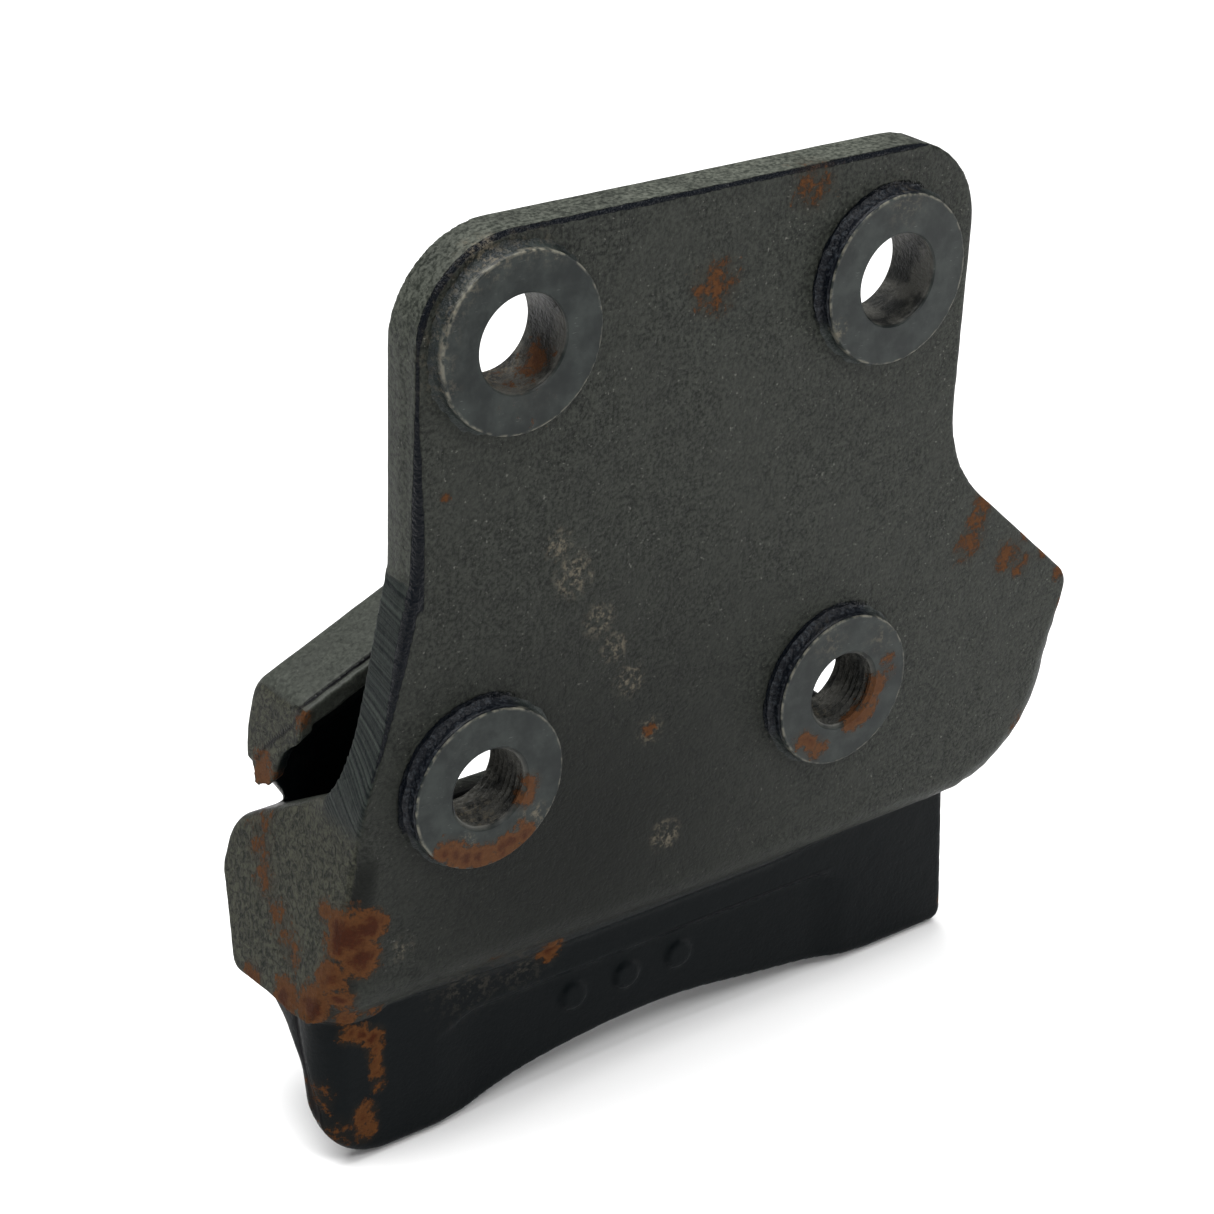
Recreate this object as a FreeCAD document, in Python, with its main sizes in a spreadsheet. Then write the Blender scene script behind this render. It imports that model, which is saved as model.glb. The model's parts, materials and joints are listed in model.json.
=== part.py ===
"""Four-bolt mounting bracket: a bolt plate, a beam behind it, a gabled rear web and an arched foot.

Frame: +Z up, +Y to the rear, +X along the plate, seen from the front. The origin is the mouth of the
upper left bolt hole, on the mounting plane that the four boss faces share. Sketches are drawn about
the plate's own centre (midway across the foot, level with the middle of the bolt square) and each
body is then moved so that the hole lands on the origin.
"""
import FreeCAD, Part
import math
import os

import Sketcher

DOCUMENT_NAME = "bracket"
SHEET_NAME = "Dims"
PARTS_FOLDER = "parts"
THROUGH = 400.0          # longer than the bracket in any direction, mm
SAME_PLACE = 0.01        # two points closer than this are one point, mm
LONG_EDGE = 20.0         # edges along the flange are longer than this, its end edges shorter, mm

# Driving dimensions in mm and degrees. Text that starts with "=" is worked out by the sheet.
DIMENSIONS = [
    # bolt plate, seen from the front
    ("plate_top", "68.3"),
    ("half_width", "66.8"),
    ("plate_bottom", "-90"),
    ("corner_round", "21"),
    ("neck_level", "-4.1"),
    ("neck_round", "31"),
    ("ear_reach", "107"),
    ("ear_level", "-40"),
    ("ear_bottom_round", "31"),
    ("plate_front", "3.3"),
    ("plate_back", "13"),
    ("plate_thick", "=plate_back - plate_front"),
    ("edge_round", "1"),
    ("bottom_edge_round", "8"),
    ("back_edge_round", "1.5"),
    # slanting trim that takes off the left ear and the left ends behind it
    ("trim_start_level", "25"),
    ("trim_upper_level", "4.7"),
    ("trim_lower_reach", "93.1"),
    ("trim_lower_level", "-127"),
    ("trim_far", "150"),
    # bolt square, turned clockwise against the plate, and its bosses
    ("bolt_pitch", "90"),
    ("square_turn", "3.4"),
    ("square_shift", "-3.5"),
    ("near_offset", "=bolt_pitch / 2 * (cos(square_turn * 1 deg) - sin(square_turn * 1 deg))"),
    ("far_offset", "=bolt_pitch / 2 * (cos(square_turn * 1 deg) + sin(square_turn * 1 deg))"),
    ("upper_left_x", "=square_shift - near_offset"),
    ("upper_left_z", "=far_offset"),
    ("upper_right_x", "=square_shift + far_offset"),
    ("upper_right_z", "=near_offset"),
    ("lower_left_x", "=square_shift - far_offset"),
    ("lower_left_z", "=-near_offset"),
    ("lower_right_x", "=square_shift + near_offset"),
    ("lower_right_z", "=-far_offset"),
    ("mounting_plane", "0"),
    ("upper_rim_radius", "17.5"),
    ("lower_rim_radius", "17"),
    ("upper_bore_radius", "9.5"),
    ("lower_bore_radius", "8.2"),
    ("lower_mouth_radius", "9"),
    ("sleeve_radius", "13"),
    ("rim_chamfer", "0.5"),
    ("upper_rim_flat", "=upper_rim_radius - rim_chamfer"),
    ("lower_rim_flat", "=lower_rim_radius - rim_chamfer"),
    ("mouth_depth", "=lower_mouth_radius - lower_bore_radius"),
    # beam behind the plate and its trimmed left cheek
    ("floor_level", "-72"),
    ("beam_rear", "50"),
    ("beam_heel", "39.5"),
    ("heel_level", "-92.4"),
    ("heel_round", "3"),
    ("beam_left", "-71"),
    ("beam_right", "66.5"),
    ("beam_length", "=beam_right - beam_left"),
    ("cheek_top", "-41"),
    ("cheek_corner", "53"),
    ("cheek_corner_level", "-65.7"),
    ("cheek_corner_round", "11"),
    ("cheek_length", "30"),
    # rear web, a gable that slopes down both ways from the middle
    ("middle", "0"),
    ("slope", "23.75"),
    ("ridge", "-1.3"),
    ("web_top", "=ridge - flange_depth"),
    ("web_front", "42"),
    ("web_rear", "47.5"),
    ("web_thick", "=web_rear - web_front"),
    ("web_reach", "76"),
    ("web_shoulder", "=web_top - web_reach * tan(slope * 1 deg)"),
    ("web_waist_reach", "68.6"),
    ("web_waist", "-62.3"),
    ("web_foot_reach", "61"),
    ("window_reach", "46"),
    ("window_top", "-63.5"),
    ("window_round", "3"),
    # flange along the web's sloping top, and its flash rib
    ("flange_front", "32"),
    ("flange_rear", "49.5"),
    ("flange_depth", "16"),
    ("flange_rear_low", "=ridge - 10"),
    ("flange_lip", "4"),
    ("flange_lip_level", "=ridge - flange_lip"),
    ("flange_step_level", "=ridge - flange_lip - (web_front - flange_front)"),
    ("flange_round", "4"),
    ("flange_reach", "95"),
    ("flange_length", "=flange_reach / cos(slope * 1 deg)"),
    ("flange_right_reach", "76"),
    ("flange_right_length", "=flange_right_reach / cos(slope * 1 deg)"),
    ("flash_front", "30.8"),
    ("flash_top", "=ridge - 0.4"),
    # foot
    ("foot_front", "9"),
    ("foot_reach", "84"),
    ("foot_top_right", "80.5"),
    ("foot_width", "=2 * foot_reach"),
    ("foot_bottom", "-125.8"),
    ("foot_split_top", "20"),
    ("foot_split_waist", "14"),
    ("foot_split_bottom", "11.5"),
    ("foot_rear_top", "29"),
    ("foot_rear_top_level", "-91"),
    ("foot_rear_waist", "18"),
    ("foot_rear_waist_level", "-104"),
    ("foot_rear_bottom", "15"),
    ("foot_rear_bottom_level", "-116"),
    ("arch_reach", "58"),
    ("arch_radius", "200"),
    ("leg_left_round", "16"),
    ("leg_right_round", "4"),
    ("panel_reach", "53"),
    ("panel_top", "-99.6"),
    ("panel_bottom", "-127"),
    ("panel_depth", "0.8"),
    ("panel_back", "=foot_front + panel_depth"),
    ("panel_corner_round", "5"),
]


def fill_sheet(document):
    """Put every driving dimension into the sheet under its own alias."""
    sheet = document.addObject("Spreadsheet::Sheet", SHEET_NAME)
    for row, (alias, _) in enumerate(DIMENSIONS, start=1):
        sheet.set(f"A{row}", alias)
        sheet.setAlias(f"B{row}", alias)
    for row, (alias, text) in enumerate(DIMENSIONS, start=1):
        sheet.set(f"B{row}", text)
    document.recompute()
    return sheet


def value_of(sheet, token):
    """Number behind a token such as half_width or -half_width."""
    number = float(sheet.get(token.lstrip("-")))
    return -number if token.startswith("-") else number


def formula_of(token):
    """Expression behind a token such as half_width or -half_width."""
    sign = "-" if token.startswith("-") else ""
    return f"{sign}{SHEET_NAME}.{token.lstrip('-')}"


def new_body(document, name):
    """Empty body labelled with its file name and moved so the datum hole is the origin."""
    body = document.addObject("PartDesign::Body", name)
    body.Label = name
    body.setExpression(".Placement.Base.x", formula_of("-upper_left_x"))
    body.setExpression(".Placement.Base.z", formula_of("-upper_left_z"))
    return body


def origin_feature(body, role):
    """Origin plane or axis of a body, found by its role."""
    return next(item for item in body.Origin.OriginFeatures if item.Role == role)


def new_sketch(body, name, role, level=None):
    """Sketch on one of the body's origin planes, moved along that plane's normal by a token."""
    sketch = body.newObject("Sketcher::SketchObject", name)
    sketch.AttachmentSupport = [(origin_feature(body, role), "")]
    sketch.MapMode = "FlatFace"
    if level is not None:
        sketch.setExpression(".AttachmentOffset.Base.z", formula_of(level))
    return sketch


def arc_between(start, stop, radius):
    """Arc of the given radius that bulges up between two points on one level."""
    half = (stop - start).Length / 2
    centre = (start + stop) / 2 - FreeCAD.Vector(0, math.sqrt(radius ** 2 - half ** 2), 0)
    angles = sorted(math.atan2(point.y - centre.y, point.x - centre.x) for point in (start, stop))
    return Part.ArcOfCircle(Part.Circle(centre, FreeCAD.Vector(0, 0, 1), radius), *angles)


def side_ends(points, side, arcs):
    """Numbers of a side's first and last point, as the sketch counts them.

    An arc runs anticlockwise, so one drawn from right to left keeps its first point first.
    """
    start = points[side]
    stop = points[(side + 1) % len(points)]
    if side in arcs and start.x < stop.x:
        return 2, 1
    return 1, 2


def pin_point(sketch, sheet, side, end, corner):
    """Hold one end of a sketch element at a corner given as a pair of tokens."""
    for kind, token in zip(("DistanceX", "DistanceY"), corner):
        index = sketch.addConstraint(
            Sketcher.Constraint(kind, -1, 1, side, end, value_of(sheet, token)))
        sketch.setExpression(f"Constraints[{index}]", formula_of(token))


def draw_outline(sketch, sheet, corners, arcs=None):
    """Closed outline through corners drawn anticlockwise; arcs maps a side to its radius token."""
    arcs = arcs or {}
    points = [FreeCAD.Vector(value_of(sheet, x), value_of(sheet, y), 0) for x, y in corners]
    count = len(points)
    for side, start in enumerate(points):
        stop = points[(side + 1) % count]
        if side in arcs:
            sketch.addGeometry(arc_between(start, stop, value_of(sheet, arcs[side])), False)
        else:
            sketch.addGeometry(Part.LineSegment(start, stop), False)
    for side in range(count):
        following = (side + 1) % count
        first, last = side_ends(points, side, arcs)
        joint, _ = side_ends(points, following, arcs)
        sketch.addConstraint(Sketcher.Constraint("Coincident", side, last, following, joint))
        pin_point(sketch, sheet, side, first, corners[side])
    for side, radius in arcs.items():
        index = sketch.addConstraint(Sketcher.Constraint("Radius", side, value_of(sheet, radius)))
        sketch.setExpression(f"Constraints[{index}]", formula_of(radius))


def pad(body, sketch, length, backwards=False):
    """Pad a sketch by the length behind a token."""
    feature = body.newObject("PartDesign::Pad", f"{sketch.Name}_pad")
    feature.Profile = sketch
    feature.setExpression("Length", formula_of(length))
    feature.Reversed = backwards
    return feature


def pad_down_slope(body, sketch, sheet, side, length):
    """Pad a cross section down one slope of the gable; side is -1 for left and 1 for right."""
    feature = pad(body, sketch, length)
    slope = math.radians(value_of(sheet, "slope"))
    feature.UseCustomVector = True
    feature.Direction = FreeCAD.Vector(side * math.cos(slope), 0, -math.sin(slope))
    feature.AlongSketchNormal = False
    return feature


def cut_through(body, sketch):
    """Pocket a sketch right through the body, both ways from its plane."""
    feature = body.newObject("PartDesign::Pocket", f"{sketch.Name}_cut")
    feature.Profile = sketch
    feature.Length = THROUGH
    feature.Midplane = True
    return feature


def trim_left(body, sheet, name):
    """Slanting cut that takes off everything left of the trim line."""
    sketch = new_sketch(body, name, "XZ_Plane")
    draw_outline(sketch, sheet, [
        ("-half_width", "trim_start_level"),
        ("-trim_far", "trim_start_level"),
        ("-trim_far", "trim_lower_level"),
        ("-trim_lower_reach", "trim_lower_level"),
        ("-half_width", "trim_upper_level"),
    ])
    return cut_through(body, sketch)


def middle_of(edge):
    """Point halfway along an edge."""
    return edge.valueAt((edge.FirstParameter + edge.LastParameter) / 2)


def is_at(found, x=None, y=None, z=None):
    """True if a point has the coordinates that are given."""
    pairs = ((x, found.x), (y, found.y), (z, found.z))
    return all(wanted is None or abs(wanted - got) < SAME_PLACE for wanted, got in pairs)


def lies_in(edge, y):
    """True if an edge lies in the upright plane at this y."""
    return all(is_at(corner.Point, y=y) for corner in edge.Vertexes) and is_at(middle_of(edge), y=y)


def round_edges(document, body, name, radius, wanted):
    """Fillet the edges of the body's tip that a test picks out."""
    document.recompute()
    base = body.Tip
    picked = [f"Edge{number}" for number, edge in enumerate(base.Shape.Edges, start=1) if wanted(edge)]
    if not picked:
        raise ValueError(f"{name}: no edge to round")
    feature = body.newObject("PartDesign::Fillet", name)
    feature.Base = (base, picked)
    feature.setExpression("Radius", formula_of(radius))
    return feature


def round_upright(document, body, sheet, name, radius, places):
    """Round edges that run along Y, named by the (x, z) tokens of where they stand."""
    spots = [(value_of(sheet, x), value_of(sheet, z)) for x, z in places]
    return round_edges(document, body, name, radius,
                       lambda edge: any(is_at(middle_of(edge), x=x, z=z) for x, z in spots))


def round_lengthwise(document, body, sheet, name, radius, places):
    """Round edges that run along X, named by the (y, z) tokens of where they lie."""
    spots = [(value_of(sheet, y), value_of(sheet, z)) for y, z in places]
    return round_edges(document, body, name, radius,
                       lambda edge: any(is_at(middle_of(edge), y=y, z=z) for y, z in spots))


def make_bolt_plate(document, sheet):
    """Flat plate with a shouldered outline, rounded front edges and four boss holes."""
    body = new_body(document, "bolt_plate")
    outline = new_sketch(body, "plate_outline", "XZ_Plane", "-plate_front")
    draw_outline(outline, sheet, [
        ("half_width", "plate_top"),
        ("-half_width", "plate_top"),
        ("-half_width", "neck_level"),
        ("-ear_reach", "ear_level"),
        ("-ear_reach", "plate_bottom"),
        ("ear_reach", "plate_bottom"),
        ("ear_reach", "ear_level"),
        ("half_width", "neck_level"),
    ])
    pad(body, outline, "plate_thick", backwards=True)
    corner_rounds = (
        ("top_corners", "corner_round", "half_width", "plate_top"),
        ("necks", "neck_round", "half_width", "neck_level"),
        ("ear_bottoms", "ear_bottom_round", "ear_reach", "plate_bottom"),
    )
    for name, radius, reach, level in corner_rounds:
        round_upright(document, body, sheet, name, radius, [(reach, level), (f"-{reach}", level)])
    front = value_of(sheet, "plate_front")
    back = value_of(sheet, "plate_back")
    ear_level = value_of(sheet, "ear_level")
    round_edges(document, body, "bottom_front_edge", "bottom_edge_round",
                lambda edge: lies_in(edge, front) and middle_of(edge).z < ear_level)
    round_edges(document, body, "upper_front_edge", "edge_round",
                lambda edge: lies_in(edge, front) and middle_of(edge).z > ear_level)
    round_edges(document, body, "upper_back_edge", "back_edge_round",
                lambda edge: lies_in(edge, back) and middle_of(edge).z > ear_level)
    holes = new_sketch(body, "boss_holes", "XZ_Plane")
    for number, corner in enumerate(("upper_left", "upper_right", "lower_left", "lower_right")):
        centre = (f"{corner}_x", f"{corner}_z")
        place = FreeCAD.Vector(value_of(sheet, centre[0]), value_of(sheet, centre[1]), 0)
        radius = value_of(sheet, "sleeve_radius")
        holes.addGeometry(Part.Circle(place, FreeCAD.Vector(0, 0, 1), radius), False)
        pin_point(holes, sheet, number, 3, centre)
        index = holes.addConstraint(Sketcher.Constraint("Radius", number, radius))
        holes.setExpression(f"Constraints[{index}]", formula_of("sleeve_radius"))
    cut_through(body, holes)
    trim_left(body, sheet, "plate_trim")
    return body


def make_boss(document, sheet, name, corner, section):
    """Boss turned about Y: a proud rim on the plate and a bored sleeve through it."""
    body = new_body(document, name)
    sketch = new_sketch(body, f"{name}_section", "YZ_Plane")
    draw_outline(sketch, sheet, section)
    turned = body.newObject("PartDesign::Revolution", f"{name}_turned")
    turned.Profile = sketch
    turned.ReferenceAxis = (origin_feature(body, "Y_Axis"), [""])
    turned.Angle = 360.0
    for axis in ("x", "z"):
        body.setExpression(f".Placement.Base.{axis}",
                           f"{formula_of(f'{corner}_{axis}')} - {formula_of(f'upper_left_{axis}')}")
    return body


def make_upper_boss(document, sheet, corner):
    """Boss with a plain clearance bore."""
    return make_boss(document, sheet, f"{corner}_boss", corner, [
        ("mounting_plane", "upper_bore_radius"),
        ("mounting_plane", "upper_rim_flat"),
        ("rim_chamfer", "upper_rim_radius"),
        ("plate_front", "upper_rim_radius"),
        ("plate_front", "sleeve_radius"),
        ("plate_back", "sleeve_radius"),
        ("plate_back", "upper_bore_radius"),
    ])


def make_lower_boss(document, sheet, corner):
    """Boss with a threaded bore at its crest diameter and a countersunk mouth."""
    return make_boss(document, sheet, f"{corner}_threaded_boss", corner, [
        ("mounting_plane", "lower_mouth_radius"),
        ("mounting_plane", "lower_rim_flat"),
        ("rim_chamfer", "lower_rim_radius"),
        ("plate_front", "lower_rim_radius"),
        ("plate_front", "sleeve_radius"),
        ("plate_back", "sleeve_radius"),
        ("plate_back", "lower_bore_radius"),
        ("mouth_depth", "lower_bore_radius"),
    ])


def make_base_beam(document, sheet):
    """Beam behind the lower edge of the plate; its top is the floor between plate and web."""
    body = new_body(document, "base_beam")
    section = new_sketch(body, "beam_section", "YZ_Plane", "beam_left")
    draw_outline(section, sheet, [
        ("plate_back", "floor_level"),
        ("plate_back", "plate_bottom"),
        ("beam_heel", "heel_level"),
        ("beam_rear", "floor_level"),
    ])
    pad(body, section, "beam_length")
    round_lengthwise(document, body, sheet, "beam_heel_edge", "heel_round",
                     [("beam_heel", "heel_level")])
    return body


def make_left_end_cheek(document, sheet):
    """Raised left end of the beam, sloping down to the rear and trimmed with the plate."""
    body = new_body(document, "left_end_cheek")
    section = new_sketch(body, "cheek_section", "YZ_Plane", "beam_left")
    draw_outline(section, sheet, [
        ("plate_back", "cheek_top"),
        ("plate_back", "plate_bottom"),
        ("beam_heel", "heel_level"),
        ("cheek_corner", "cheek_corner_level"),
    ])
    pad(body, section, "cheek_length", backwards=True)
    round_lengthwise(document, body, sheet, "cheek_rear_corner", "cheek_corner_round",
                     [("cheek_corner", "cheek_corner_level")])
    round_lengthwise(document, body, sheet, "cheek_heel_edge", "heel_round",
                     [("beam_heel", "heel_level")])
    trim_left(body, sheet, "cheek_trim")
    return body


def make_rear_web(document, sheet):
    """Gabled wall on the beam's rear edge, undercut at both ends, with a low window."""
    body = new_body(document, "rear_web")
    outline = new_sketch(body, "web_outline", "XZ_Plane", "-web_front")
    right_half = [
        ("window_reach", "window_top"),
        ("window_reach", "floor_level"),
        ("web_foot_reach", "floor_level"),
        ("web_waist_reach", "web_waist"),
        ("web_reach", "web_shoulder"),
    ]
    left_half = [(f"-{x}", z) for x, z in reversed(right_half)]
    draw_outline(outline, sheet, right_half + [("middle", "web_top")] + left_half)
    pad(body, outline, "web_thick", backwards=True)
    round_upright(document, body, sheet, "window_corners", "window_round",
                  [("window_reach", "window_top"), ("-window_reach", "window_top")])
    return body


def make_top_flange(document, sheet, name, side, length):
    """Overhanging lip along one slope of the web's top."""
    body = new_body(document, name)
    section = new_sketch(body, f"{name}_section", "YZ_Plane")
    draw_outline(section, sheet, [
        ("flange_front", "ridge"),
        ("flange_front", "flange_lip_level"),
        ("web_front", "flange_step_level"),
        ("web_front", "web_top"),
        ("web_rear", "web_top"),
        ("flange_rear", "flange_rear_low"),
        ("flange_rear", "ridge"),
    ])
    pad_down_slope(body, section, sheet, side, length)
    rear = value_of(sheet, "flange_rear")
    ridge = value_of(sheet, "ridge")
    round_edges(document, body, f"{name}_rear_edge", "flange_round",
                lambda edge: is_at(middle_of(edge), y=rear)
                and any(is_at(corner.Point, y=rear, z=ridge) for corner in edge.Vertexes)
                and edge.Length > LONG_EDGE)
    return body


def make_left_top_flange(document, sheet):
    """Left lip, trimmed with the plate."""
    body = make_top_flange(document, sheet, "left_top_flange", -1, "flange_length")
    trim_left(body, sheet, "left_flange_trim")
    return body


def make_flange_flash_rib(document, sheet):
    """Thin strip of forging flash along the front edge of the left lip."""
    body = new_body(document, "flange_flash_rib")
    section = new_sketch(body, "flash_section", "YZ_Plane")
    draw_outline(section, sheet, [
        ("flash_front", "flash_top"),
        ("flash_front", "flange_lip_level"),
        ("flange_front", "flange_lip_level"),
        ("flange_front", "flash_top"),
    ])
    pad_down_slope(body, section, sheet, -1, "flange_length")
    trim_left(body, sheet, "flash_trim")
    return body


def cut_arch(body, sheet, name):
    """Arch cut up through the bottom of the foot between its two legs."""
    sketch = new_sketch(body, name, "XZ_Plane")
    draw_outline(sketch, sheet, [
        ("arch_reach", "foot_bottom"),
        ("-arch_reach", "foot_bottom"),
        ("-arch_reach", "panel_bottom"),
        ("arch_reach", "panel_bottom"),
    ], arcs={0: "arch_radius"})
    return cut_through(body, sketch)


def taper_right_end(body, sheet, name):
    """Draft on the foot's right end, which widens a little toward the bottom."""
    sketch = new_sketch(body, name, "XZ_Plane")
    draw_outline(sketch, sheet, [
        ("trim_far", "floor_level"),
        ("foot_top_right", "floor_level"),
        ("foot_top_right", "plate_bottom"),
        ("foot_reach", "foot_bottom"),
        ("trim_far", "foot_bottom"),
    ])
    return cut_through(body, sketch)


def round_leg_corners(document, body, sheet):
    """Round the bottom corners of the two legs, the left one more than the right."""
    for side, reach in (("left", "-foot_reach"), ("right", "foot_reach")):
        round_upright(document, body, sheet, f"{body.Name}_{side}_corner", f"leg_{side}_round",
                      [(reach, "foot_bottom")])


def make_foot_front(document, sheet):
    """Front wall of the foot: arched between two legs, with a shallow sunk panel."""
    body = new_body(document, "foot_front_wall")
    section = new_sketch(body, "foot_section", "YZ_Plane", "-foot_reach")
    draw_outline(section, sheet, [
        ("foot_front", "plate_bottom"),
        ("foot_front", "foot_bottom"),
        ("foot_split_bottom", "foot_bottom"),
        ("foot_split_waist", "foot_rear_waist_level"),
        ("foot_split_top", "foot_rear_top_level"),
        ("plate_back", "plate_bottom"),
    ])
    pad(body, section, "foot_width")
    cut_arch(body, sheet, "front_arch")
    round_leg_corners(document, body, sheet)
    taper_right_end(body, sheet, "front_taper")
    panel = new_sketch(body, "sunk_panel", "XZ_Plane", "-panel_back")
    draw_outline(panel, sheet, [
        ("panel_reach", "panel_top"),
        ("-panel_reach", "panel_top"),
        ("-panel_reach", "panel_bottom"),
        ("panel_reach", "panel_bottom"),
    ])
    pocket = body.newObject("PartDesign::Pocket", "sunk_panel_cut")
    pocket.Profile = panel
    pocket.setExpression("Length", formula_of("panel_depth"))
    pocket.Reversed = True
    round_upright(document, body, sheet, "panel_corners", "panel_corner_round",
                  [("panel_reach", "panel_top"), ("-panel_reach", "panel_top")])
    return body


def make_foot_rib(document, sheet):
    """Sloping rear wall of the foot, against the back of its front wall."""
    body = new_body(document, "foot_rear_rib")
    section = new_sketch(body, "rib_section", "YZ_Plane", "-foot_reach")
    draw_outline(section, sheet, [
        ("foot_split_top", "foot_rear_top_level"),
        ("foot_split_waist", "foot_rear_waist_level"),
        ("foot_split_bottom", "foot_bottom"),
        ("foot_rear_bottom", "foot_bottom"),
        ("foot_rear_bottom", "foot_rear_bottom_level"),
        ("foot_rear_waist", "foot_rear_waist_level"),
        ("foot_rear_top", "foot_rear_top_level"),
    ])
    pad(body, section, "foot_width")
    cut_arch(body, sheet, "rear_arch")
    round_leg_corners(document, body, sheet)
    taper_right_end(body, sheet, "rear_taper")
    return body


def check_and_export(document, bodies):
    """Stop on any failed object or shape, then write one STEP file for each body."""
    document.recompute()
    for item in document.Objects:
        faults = [word for word in item.State if word in ("Invalid", "Error")]
        if faults:
            raise ValueError(f"{item.Label}: {faults}")
    os.makedirs(PARTS_FOLDER, exist_ok=True)
    for body in bodies:
        shape = body.Shape
        if shape.isNull() or not shape.isValid() or not shape.Solids:
            raise ValueError(f"{body.Label}: no valid solid")
        shape.exportStep(f"{PARTS_FOLDER}/{body.Label}.step")
        box = shape.BoundBox
        print(f"{body.Label}: {len(shape.Solids)} solid, {shape.Volume / 1000:.1f} cm3, "
              f"x {box.XMin:.1f} {box.XMax:.1f}, y {box.YMin:.1f} {box.YMax:.1f}, "
              f"z {box.ZMin:.1f} {box.ZMax:.1f}")


def main():
    """Build the bracket and write its parts."""
    document = FreeCAD.newDocument(DOCUMENT_NAME)
    sheet = fill_sheet(document)
    bodies = [make_bolt_plate(document, sheet)]
    bodies += [make_upper_boss(document, sheet, corner) for corner in ("upper_left", "upper_right")]
    bodies += [make_lower_boss(document, sheet, corner) for corner in ("lower_left", "lower_right")]
    bodies += [
        make_base_beam(document, sheet),
        make_left_end_cheek(document, sheet),
        make_rear_web(document, sheet),
        make_left_top_flange(document, sheet),
        make_top_flange(document, sheet, "right_top_flange", 1, "flange_right_length"),
        make_flange_flash_rib(document, sheet),
        make_foot_front(document, sheet),
        make_foot_rib(document, sheet),
    ]
    check_and_export(document, bodies)


main()
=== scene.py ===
import json
import math

import bpy
import numpy as np
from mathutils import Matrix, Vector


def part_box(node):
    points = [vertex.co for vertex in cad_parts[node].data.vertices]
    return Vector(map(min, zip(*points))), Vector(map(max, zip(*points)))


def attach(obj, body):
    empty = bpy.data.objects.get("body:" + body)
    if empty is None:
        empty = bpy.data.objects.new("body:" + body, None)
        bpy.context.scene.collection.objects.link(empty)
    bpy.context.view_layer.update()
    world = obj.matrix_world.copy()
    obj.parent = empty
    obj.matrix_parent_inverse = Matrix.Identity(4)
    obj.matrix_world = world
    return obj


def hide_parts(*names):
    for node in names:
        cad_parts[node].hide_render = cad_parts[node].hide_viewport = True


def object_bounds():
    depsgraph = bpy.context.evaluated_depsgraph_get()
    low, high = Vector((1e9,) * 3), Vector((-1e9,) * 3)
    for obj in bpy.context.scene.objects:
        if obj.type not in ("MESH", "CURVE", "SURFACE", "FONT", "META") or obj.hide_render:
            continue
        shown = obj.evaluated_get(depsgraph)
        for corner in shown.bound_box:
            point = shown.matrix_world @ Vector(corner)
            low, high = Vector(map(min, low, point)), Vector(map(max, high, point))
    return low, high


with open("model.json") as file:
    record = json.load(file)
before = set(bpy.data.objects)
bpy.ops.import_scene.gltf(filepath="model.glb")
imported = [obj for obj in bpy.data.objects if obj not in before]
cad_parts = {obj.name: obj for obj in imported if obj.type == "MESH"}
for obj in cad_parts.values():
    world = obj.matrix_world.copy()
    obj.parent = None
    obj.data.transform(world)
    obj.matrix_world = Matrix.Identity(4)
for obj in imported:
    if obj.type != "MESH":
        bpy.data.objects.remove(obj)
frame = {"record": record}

import openvdb
from mathutils import Matrix, Vector

# The look of a forged, trimmed and painted four-bolt mounting bracket.
#
# The forging is one continuous surface, so its shape is written once, as signed distances in
# millimetres about the plate's own centre (X=0 midway across the foot, Z=0 level with the middle of
# the bolt square, Y=0 on the boss faces). Each CAD node then takes its own share of that surface.
# The bosses are turned, so they are lathed as exact rings instead.

MM = 0.001
CAD_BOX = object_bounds()

# ------------------------ sizes, mm

PLATE_TOP = 68.3
HALF_WIDTH = 66.8
PLATE_BOTTOM = -90.0
PLATE_FRONT = 3.3
PLATE_BACK = 13.0
CORNER_ROUND = 21.0
NECK_LEVEL = -4.1
NECK_ROUND = 31.0
EAR_REACH = 107.0
EAR_LEVEL = -40.0
EAR_TIP_ROUND = 8.0
EAR_BOTTOM_ROUND = 31.0
TOP_EDGE_ROUND = 1.0
TOP_EDGE_WAVER = 0.35            # how much that rounding varies along the edge
BEVEL = 2.6                      # rounding of the left edge just above the cut
BOTTOM_EDGE_ROUND = 8.0
BACK_EDGE_ROUND = 0.6

TRIM_START = (-66.8, 4.7)        # where the slanting cut begins, X and Z
TRIM_SLOPE = 0.1995              # sideways run for each mm down
TRIM_SWELL = 1.9                 # how far the cut stands out round its middle
TRIM_EDGE = 0.35                 # least rounding of its edges

FLOOR = -72.0
BEAM_REAR = 50.0
BEAM_HEEL = (39.5, -92.4)        # Y and Z
BEAM_RIGHT = 66.5
BLOCK_START = (PLATE_BACK - 5, -89.9)                  # Y and Z, inside the plate
BEAM_BOTTOM = PLATE_BOTTOM - 2.4
CHEEK_INNER = -71.0
CHEEK_TOP = -41.0
CHEEK_CORNER = (53.0, -65.7)     # Y and Z, before rounding
CHEEK_CORNER_ROUND = 11.0
CHEEK_LIFT = 1.9                 # rise of the cheek's lower outer edge

RIDGE = -1.3
RIDGE_ANGLE = math.radians(23.75)
WEB_FRONT = 42.0
WEB_REAR = 47.5
WEB_REACH = 76.0
WINDOW_REACH = 46.0
WINDOW_TOP = -63.5
FLANGE_FRONT = 32.0
FLANGE_REAR = 49.5
FLANGE_DEPTH = 16.0
FLANGE_DROP = FLANGE_DEPTH * math.cos(RIDGE_ANGLE)     # the same depth square to the slope

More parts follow.
